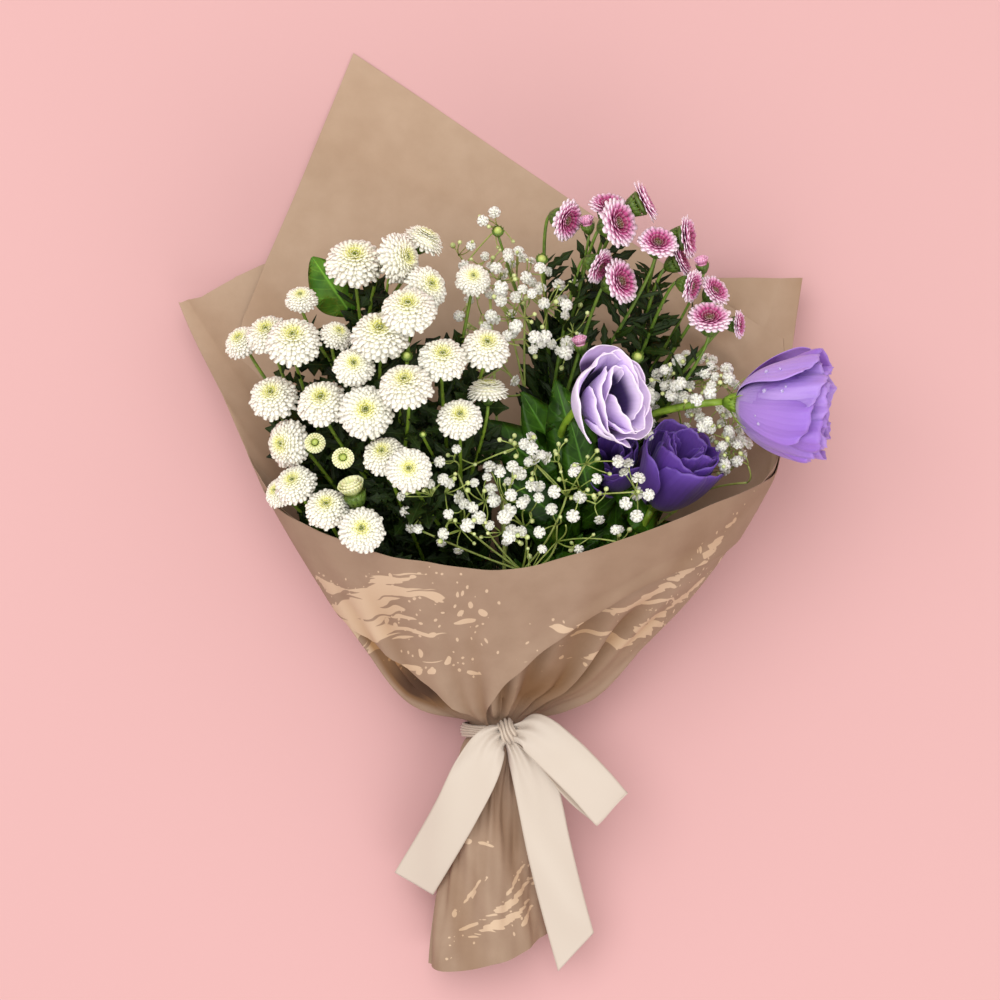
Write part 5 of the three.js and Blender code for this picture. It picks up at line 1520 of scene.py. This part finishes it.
class BouquetWrapSettings(bpy.types.PropertyGroup):
    paper_thickness: thickness_of("Paper thickness", "the wrapping paper")
    crease_depth: FloatProperty(
        name="Crease depth", description="How far folds and gathers lift the paper", default=0.0012,
        min=0.0, max=0.003, unit="LENGTH",
    )
    paper_roughness: FloatProperty(
        name="Paper roughness", description="Roughness of the paper's surface", default=0.72,
        min=0.0, max=1.0, subtype="FACTOR",
    )
    outer_dark: colour_of("Outside, dark", "Darker mottling of the paper's outside", 139, 114, 94)
    outer_light: colour_of("Outside, light", "Lighter mottling of the paper's outside", 156, 131, 111)
    inner_dark: colour_of("Inside, dark", "Darker mottling of the paper's inside", 166, 138, 114)
    inner_light: colour_of("Inside, light", "Lighter mottling of the paper's inside", 182, 155, 132)
    print_colour: colour_of("Print", "Colour of the splashed print", 194, 168, 142)


class BouquetRibbonSettings(bpy.types.PropertyGroup):
    ribbon_thickness: thickness_of("Ribbon thickness", "the satin ribbon")
    satin: colour_of("Satin", "Colour of the ribbon's face", 192, 179, 166)
    selvedge: colour_of("Selvedge", "Colour along the ribbon's two edges", 189, 175, 161)
    satin_back: colour_of("Back", "Colour of the ribbon's back", 190, 174, 158)


class BouquetFlowerSettings(bpy.types.PropertyGroup):
    petal_thickness: thickness_of("Petal thickness", "each petal")
    seed: IntProperty(name="Seed", description="Seed of the flowers' small differences", default=7, min=0)
    white_petal: colour_of("White petals", "Colour of the white heads' petals", 254, 251, 238)
    white_eye: colour_of("White heads' eye", "Ring round the white heads' middle", 214, 212, 92)
    pink_petal: colour_of("Pink petals", "Colour of the pink heads' outer petals", 236, 156, 202)
    pink_heart: colour_of("Pink heads' heart", "Colour inside the pink heads", 150, 40, 86)
    lilac_petal: colour_of("Lilac petals", "Colour of the lilac blooms", 156, 113, 206)
    violet_petal: colour_of("Violet petals", "Colour of the violet blooms", 73, 37, 132)


class BouquetFoliageSettings(bpy.types.PropertyGroup):
    leaf_count: IntProperty(
        name="Leaves of a spray", description="Leaves tried round each spray's stem", default=240,
        min=0, max=400,
    )
    stem_dark: colour_of("Stem, dark", "Darker green of the stems", 64, 88, 15)
    stem_light: colour_of("Stem, light", "Lighter green of the stems", 120, 148, 42)
    leaf_dark: colour_of("Leaf, dark", "Darker green of the lobed leaves", 9, 20, 2)
    leaf_light: colour_of("Leaf, light", "Lighter green of the lobed leaves", 34, 54, 9)
    waxy_dark: colour_of("Broad leaf, dark", "Darker green of the broad leaves", 20, 46, 5)
    waxy_light: colour_of("Broad leaf, light", "Lighter green of the broad leaves", 62, 106, 20)


class BouquetStageSettings(bpy.types.PropertyGroup):
    floor_colour: colour_of("Floor", "Colour of the floor", 204, 160, 160)
    light_power: FloatProperty(
        name="Light power", description="Power of the main soft light, in watts", default=34.0,
        min=0.0, max=500.0, subtype="POWER",
    )


class BouquetSettings(bpy.types.PropertyGroup):
    wrap: PointerProperty(type=BouquetWrapSettings, name="Wrap", description="Paper wrap")
    ribbon: PointerProperty(type=BouquetRibbonSettings, name="Ribbon", description="Satin ribbon")
    flowers: PointerProperty(type=BouquetFlowerSettings, name="Flowers", description="Flower heads")
    foliage: PointerProperty(type=BouquetFoliageSettings, name="Foliage", description="Stems and leaves")
    stage: PointerProperty(type=BouquetStageSettings, name="Stage", description="Floor and light")


# ---------------------------------------------------------------- operators
class MakeWrap(bpy.types.Operator):
    """Make the two sheets of kraft paper"""

    bl_idname = "bouquet.make_wrap"
    bl_label = "Paper Wrap"

    def execute(self, context):
        wrap = context.scene.bouquet.wrap
        paper = once(paper_finish, wrap)
        depth, thick = wrap.crease_depth / MM, wrap.paper_thickness / MM
        for name, make_grid in (("back", back_sheet_grid), ("front", front_sheet_grid)):
            grid, shade, (places, shown) = make_grid(depth)
            body = sheet_body(grid, shade, thick, name == "back", shown)
            body.piece(f"paper_{name}_sheet", [paper], "wrapping_paper", [f"wrap_{name}_sheet"], 50, places)
        return {"FINISHED"}


class MakeRibbon(bpy.types.Operator):
    """Make the satin ribbon: band, knot, loop and two tails"""

    bl_idname = "bouquet.make_ribbon"
    bl_label = "Satin Ribbon"

    def execute(self, context):
        ribbon = context.scene.bouquet.ribbon
        middle = np.array([0, sum(BAND_Y) / 2, NECK[2]])
        along = np.array([0.0, 1.0, 0.0])
        radii = (BAND_RADIUS - 0.6,) * 2
        band = pleated_ring(middle, radii, 7.0, pleats=5, depth=0.75, steps=121, axis=along)
        once_round = 2 * np.pi * (BAND_RADIUS + 0.6)
        ribbon_piece("ribbon_band", band[:-1], ribbon, once_round)
        knot = pleated_ring(KNOT, (3.6, 4.6), 8.5, pleats=4, depth=1.05, steps=61, axis=KNOT_AXIS)
        ribbon_piece("ribbon_knot", knot[:-1], ribbon, KNOT_LENGTH)
        left = ribbon_strip(LEFT_TAIL, gather=3.0, cut=0.6, steps=120, curl=5.0)
        ribbon_piece("ribbon_left_tail", left, ribbon, path_length(LEFT_TAIL))
        right = ribbon_strip(RIGHT_TAIL, gather=3.0, cut=9.0, steps=120)
        ribbon_piece("ribbon_right_tail", right, ribbon, path_length(RIGHT_TAIL))
        loop = ribbon_strip(LOOP, gather=3.0, arch=1.0, steps=200, flat=LOOP_ACROSS)
        ribbon_piece("ribbon_loop", loop, ribbon, path_length(LOOP))
        return {"FINISHED"}


TIE_STRAND, TIE_TURNS = 0.55, 6


class MakeTie(bpy.types.Operator):
    """Make the twine wound round the stems"""

    bl_idname = "bouquet.make_tie"
    bl_label = "Stem Tie"

    def execute(self, context):
        low, high = (np.array(corner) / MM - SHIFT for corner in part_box("stem_tie"))
        t = np.linspace(0, 1, TIE_TURNS * 40)
        turn = 2 * np.pi * TIE_TURNS * t
        radius = (high[0] - low[0]) / 2 - TIE_STRAND
        x, z = TIE_MIDDLE[0] + radius * np.cos(turn), TIE_MIDDLE[2] + radius * np.sin(turn)
        y = mix(low[1] + TIE_STRAND, high[1] - TIE_STRAND, t)
        body = Body().add(*tubes(np.stack([x, y, z], axis=-1)[None], TIE_STRAND, 8))
        body.piece("stem_twine", [once(twine_finish)], "twine", ["stem_tie"])
        return {"FINISHED"}


# Rows of a head's solid middle under its petals: radius and height, in shares of the head's radius.
WHITE_CORE = [
    [0.28, -0.26], [0.55, -0.22], [0.74, -0.06], [0.70, 0.10], [0.54, 0.26], [0.32, 0.34], [0.12, 0.30],
    [0.03, 0.26],
]
PINK_CORE = [[0.28, -0.26], [0.55, -0.2], [0.60, -0.08], [0.48, 0.02], [0.25, 0.04], [0.03, 0.02]]
WHITE_EYE = [[0.03, 0.2], [0.085, 0.27], [0.09, 0.32], [0.05, 0.36], [0.01, 0.37]]


def make_heads(colour, rings, core, flowers, petals, heart):
    """Every head of a colour: rings of petals round a solid middle, and a green eye in the white ones."""
    eye_paint = tissue("green eye", (58, 70, 8), (112, 122, 26))
    for i, head in enumerate(h for h in HEADS if h.colour == colour):
        rng = np.random.default_rng(flowers.seed * 100 + i + (50 if colour == "pink" else 0))
        body = Body()
        head_petals(body, head, rings, rng, flowers.petal_thickness / MM)
        body.add(*lathe(head.centre, head.axis, np.array(core) * head.radius, 20), 1)
        if colour == "white":
            body.add(*lathe(head.centre, head.axis, np.array(WHITE_EYE) * head.radius, 12), 2)
        name = f"{colour}_pompon_{head.spray}_{head.number}"
        body.piece(name, [petals, heart, eye_paint], f"{colour}_petals", [head.node])


class MakeWhiteHeads(bpy.types.Operator):
    """Make the white pompon heads"""

    bl_idname = "bouquet.make_white_heads"
    bl_label = "White Heads"

    def execute(self, context):
        flowers = context.scene.bouquet.flowers
        heart = tissue("pale heart", (246, 243, 212), (254, 251, 234))
        make_heads("white", WHITE_RINGS, WHITE_CORE, flowers, white_petals(flowers), heart)
        return {"FINISHED"}


class MakePinkHeads(bpy.types.Operator):
    """Make the pink daisy-like heads"""

    bl_idname = "bouquet.make_pink_heads"
    bl_label = "Pink Heads"

    def execute(self, context):
        flowers = context.scene.bouquet.flowers
        make_heads("pink", PINK_RINGS, PINK_CORE, flowers, pink_petals(flowers), involucre())
        return {"FINISHED"}


def water_drops(body, bloom, count, rng, paint):
    """Flattened drops on the petals' outer faces that look up."""
    places = []
    outer = bloom["whorls"][0]
    for i in range(outer[0]):
        grid = bloom_petal(bloom, i / outer[0] * 2 * np.pi + outer[6], outer, 1.0)[0]
        places.append(grid[6:19, 4:-4].reshape(-1, 3))
    spots = np.concatenate(places)
    spots = spots[spots[:, 2] > np.quantile(spots[:, 2], 0.75)]
    up = unit(np.array([0.15, 0.1, 1.0]))
    for spot in spots[rng.choice(len(spots), count, replace=False)]:
        r = rng.uniform(0.6, 1.5)
        profile = [(math.sin(a) * r, -math.cos(a) * r * 0.55 + 0.2) for a in np.linspace(0.25, 2.9, 8)]
        body.add(*lathe(spot, up, profile, 12), paint)


def bloom_piece(name, petals, slot, flowers, seed):
    """A bloom with its throat, and with water drops where it lies on its side."""
    body = bloom_body(BLOOMS[name], flowers.petal_thickness / MM, flowers.seed + seed)
    # The dark throat material is painted shade for the middle of the cup.
    materials = [petals, tissue("dark throat", (34, 12, 60), (58, 28, 92))]
    if name == "lilac_side":
        water_drops(body, BLOOMS[name], 16, np.random.default_rng(flowers.seed), 2)
        materials.append(once(water_finish))
    body.piece(f"lisianthus_{name}", materials, slot, [f"bloom_{name}"])


class MakeLilacBlooms(bpy.types.Operator):
    """Make the two lilac blooms, with water drops on the one that lies on its side"""

    bl_idname = "bouquet.make_lilac_blooms"
    bl_label = "Lilac Blooms"

    def execute(self, context):
        flowers = context.scene.bouquet.flowers
        stops = [
            (0.0, tint(226, 228, 196)), (0.2, tint(232, 212, 244)), (0.5, tint(214, 184, 250)),
            (0.85, tint(228, 204, 252)), (1.0, tint(242, 224, 252)),
        ]
        front = once(bloom_finish, "pale lilac petals", stops, tint(246, 228, 250), tint(34, 12, 74), 0.1)
        bloom_piece("lilac_front", front, "lilac_petals", flowers, 20)
        stops = [
            (0.0, tint(196, 190, 186)), (0.1, tint(162, 124, 208)), (0.5, tuple(flowers.lilac_petal)),
            (1.0, tint(136, 92, 198)),
        ]
        side = once(bloom_finish, "lilac petals", stops, tint(196, 166, 236), tint(92, 50, 140), 0.12)
        bloom_piece("lilac_side", side, "lilac_petals", flowers, 21)
        return {"FINISHED"}


class MakeVioletBlooms(bpy.types.Operator):
    """Make the two deep violet blooms"""

    bl_idname = "bouquet.make_violet_blooms"
    bl_label = "Violet Blooms"

    def execute(self, context):
        flowers = context.scene.bouquet.flowers
        stops = [
            (0.0, tint(96, 84, 124)), (0.2, tint(76, 42, 134)), (0.55, tuple(flowers.violet_petal)),
            (1.0, tint(80, 44, 142)),
        ]
        petals = once(bloom_finish, "violet petals", stops, tint(120, 84, 186), tint(38, 14, 78), 0.12)
        bloom_piece("violet_right", petals, "violet_petals", flowers, 30)
        bloom_piece("violet_left", petals, "violet_petals", flowers, 31)
        return {"FINISHED"}


def head_ends(colour, spray):
    """Seats that a spray's branches end at: seat, axis, cup radius and cup depth."""
    heads = [h for h in HEADS if h.colour == colour and h.spray == spray]
    cup, depth = (0.34, 0.42) if colour == "white" else (0.50, 0.62)
    return [(h.seat, h.axis, cup * h.radius, depth * h.radius) for h in heads]


class MakeSprays(bpy.types.Operator):
    """Make the stems, branches, buds and lobed leaves of the white and pink sprays"""

    bl_idname = "bouquet.make_sprays"
    bl_label = "Sprays"

    def execute(self, context):
        foliage = context.scene.bouquet.foliage
        stems = {
            "white": once(stem_finish, "green stem", tuple(foliage.stem_dark), tuple(foliage.stem_light)),
            "pink": tissue("deep green stem", (54, 80, 16), (98, 126, 36)),
        }
        others = [
            once(leaf_finish, "lobed leaf", tuple(foliage.leaf_dark), tuple(foliage.leaf_light), 0.5),
            tissue("green bud", (96, 120, 32), (190, 204, 110)),
            tissue("pink bud", (206, 96, 152), (246, 190, 220)),
            tissue("opening bud", (206, 212, 124), (246, 242, 200)),
            involucre(),
            once(leaf_finish, "round leaf", tint(52, 96, 18), tint(98, 148, 42), 0.5),
        ]
        for i, (colour, spray) in enumerate((c, s) for c, ss in HEAD_COUNTS.items() for s in ss):
            rng = np.random.default_rng(SPRAY_SEED + i)
            shape = LOBED if colour == "white" else SLIM_LOBED
            name = f"{colour}_spray_{spray}"
            ends = head_ends(colour, spray)
            body = grow_spray(name, ends, foliage.leaf_count, (13, 28), shape, rng, cup_paint=CUP)
            if spray == "top":
                single_leaf(body, seen(352, 315, 84), seen(312, 258, 94), ROUND, rng, ROUND_LEAF)
            body.piece(f"{name}_leafy", [stems[colour], *others], "green_stems", [name])
        return {"FINISHED"}


# Broad leaves of the lisianthus: foot pixel, tip pixel and the tip's height.
BROAD_LEAVES = {
    "lisianthus_stem_front": [
        [560, 482, 482, 418, 104], [576, 488, 524, 392, 98], [584, 484, 558, 384, 106],
        [566, 522, 492, 470, 108], [590, 500, 574, 420, 112], [552, 520, 505, 448, 100],
    ],
    "lisianthus_stem_back": [[652, 540, 622, 470, 84]],
}
LISIANTHUS_BLOOMS = {
    "lisianthus_stem_front": ["lilac_front", "lilac_side"],
    "lisianthus_stem_back": ["violet_right", "violet_left"],
}


class MakeLisianthusStems(bpy.types.Operator):
    """Make the lisianthus stems, their cups and their broad leaves"""

    bl_idname = "bouquet.make_lisianthus_stems"
    bl_label = "Lisianthus Stems"

    def execute(self, context):
        foliage = context.scene.bouquet.foliage
        leaf = once(leaf_finish, "waxy leaf", tuple(foliage.waxy_dark), tuple(foliage.waxy_light), 0.38)
        green = tissue("bright stem", (84, 112, 20), (138, 170, 50))
        for i, (name, blooms) in enumerate(LISIANTHUS_BLOOMS.items()):
            rng = np.random.default_rng(LISIANTHUS_SEED + i)
            ends = [
                (b["seat"] + 1.5 * b["axis"], b["axis"], 0.2 * b["radius"], 0.3 * b["radius"])
                for b in (BLOOMS[key] for key in blooms)
            ]
            body = grow_spray(name, ends, 60, (22, 40), OVAL, rng, branch_radius=1.9, arch=1.0)
            for seat, axis, cup, depth in ends:
                sepals(body, seat - 0.4 * depth * axis, axis, cup, rng)
            for fx, fy, tx, ty, z in BROAD_LEAVES[name]:
                single_leaf(body, seen(fx, fy, z - 14), seen(tx, ty, z), BROAD, rng, LEAF)
            body.piece(f"{name}_leafy", [green, leaf], "dark_leaves", [name])
        return {"FINISHED"}


class MakeBabysBreath(bpy.types.Operator):
    """Make the baby's breath: stems, forked twigs, florets and round buds"""

    bl_idname = "bouquet.make_babys_breath"
    bl_label = "Baby's Breath"

    def execute(self, context):
        twig = tissue("pale twig", (116, 136, 52), (176, 190, 104))
        bud = tissue("pale bud", (140, 160, 72), (206, 214, 150))
        for i, (name, clouds) in enumerate(CLOUDS.items()):
            rng = np.random.default_rng(BREATH_SEED + i)
            slot, fork, _ = STEMS[name]
            path = main_stem(slot, fork)
            body = Body().add(*tubes(path[None], 1.4 * np.linspace(1, 0.75, len(path))[None], 10))
            for cloud in clouds:
                grow_cloud(body, point_along(path, 0.9)[0][0], cloud, rng)
            materials = [twig, once(floret_finish), bud]
            body.piece(f"{name}_florets", materials, "breath_florets", [name])
        return {"FINISHED"}


FLOOR_REACH = 6.0  # in metres, as all of the stage
SKY_COLOUR, SKY_STRENGTH = (1.0, 0.96, 0.91, 1.0), 0.88
LIGHT_TARGET = (0.0, 0.0, 0.06)
# Soft lights: name, size, share of the light power, and place.
LIGHTS = [("soft key", 2.2, 1.0, (-0.5, 0.55, 2.2)), ("soft fill", 1.8, 0.45, (0.7, -1.4, 1.6))]


def area_light(name, size, power, place):
    light = bpy.data.lights.new(name, "AREA")
    light.shape = "DISK"
    light.size = size
    light.energy = power
    obj = bpy.data.objects.new(name, light)
    obj.location = place
    direction = Vector(LIGHT_TARGET) - Vector(place)
    obj.rotation_euler = direction.to_track_quat("-Z", "Y").to_euler()
    bpy.context.scene.collection.objects.link(obj)


class MakeStage(bpy.types.Operator):
    """Make the floor, the lights and the camera"""

    bl_idname = "bouquet.make_stage"
    bl_label = "Stage"

    def execute(self, context):
        stage = context.scene.bouquet.stage
        f = Finish("floor", 0.9, Specular_IOR_Level=0.1)
        f.shader.inputs["Base Color"].default_value = tuple(stage.floor_colour)
        mesh = bpy.data.meshes.new("floor")
        far = FLOOR_REACH
        corners = [(-far, -far, 0), (far, -far, 0), (far, far, 0), (-far, far, 0)]
        mesh.from_pydata(corners, [], [(0, 1, 2, 3)])
        mesh.materials.append(f.material)
        floor = bpy.data.objects.new("floor", mesh)
        context.scene.collection.objects.link(floor)

        context.scene.view_settings.view_transform = "Standard"
        world = bpy.data.worlds.new("studio")
        world.use_nodes = True
        background = world.node_tree.nodes["Background"]
        background.inputs[0].default_value = SKY_COLOUR
        background.inputs[1].default_value = SKY_STRENGTH
        context.scene.world = world
        for name, size, share, place in LIGHTS:
            area_light(name, size, stage.light_power * share, place)

        camera = bpy.data.cameras.new("camera")
        camera.lens = CAMERA_LENS
        camera.sensor_width = CAMERA_SENSOR
        obj = bpy.data.objects.new("camera", camera)
        x = (PICTURE_SIZE / 2 - PICTURE_CENTRE[0]) * MM_PER_PIXEL + SHIFT[0]
        y = (PICTURE_CENTRE[1] - PICTURE_SIZE / 2) * MM_PER_PIXEL + SHIFT[1]
        obj.location = (x * MM, y * MM, CAMERA_HEIGHT * MM)
        context.scene.collection.objects.link(obj)
        context.scene.camera = obj
        return {"FINISHED"}


MAKERS = [
    MakeStage, MakeWrap, MakeRibbon, MakeTie, MakeWhiteHeads, MakePinkHeads, MakeLilacBlooms,
    MakeVioletBlooms, MakeSprays, MakeLisianthusStems, MakeBabysBreath,
]


class BouquetPanel(bpy.types.Panel):
    bl_idname = "VIEW3D_PT_bouquet"
    bl_label = "Mixed Flower Bouquet"
    bl_space_type = "VIEW_3D"
    bl_region_type = "UI"
    bl_category = "Bouquet"

    def draw(self, context):
        settings = context.scene.bouquet
        for maker in MAKERS:
            self.layout.operator(maker.bl_idname)
        for name in ("wrap", "ribbon", "flowers", "foliage", "stage"):
            group = getattr(settings, name)
            box = self.layout.box()
            box.label(text=name.capitalize())
            for key in type(group).__annotations__:
                box.prop(group, key)


GROUPS = [
    BouquetWrapSettings, BouquetRibbonSettings, BouquetFlowerSettings, BouquetFoliageSettings,
    BouquetStageSettings, BouquetSettings,
]


def register():
    for cls in [*GROUPS, *MAKERS, BouquetPanel]:
        bpy.utils.register_class(cls)
    bpy.types.Scene.bouquet = PointerProperty(
        type=BouquetSettings, name="Bouquet", description="Settings of the mixed flower bouquet"
    )


def unregister():
    del bpy.types.Scene.bouquet
    for cls in reversed([*GROUPS, *MAKERS, BouquetPanel]):
        bpy.utils.unregister_class(cls)


def main():
    register()
    for maker in MAKERS:
        group, name = maker.bl_idname.split(".")
        getattr(getattr(bpy.ops, group), name)()


if __name__ == "__main__":
    main()
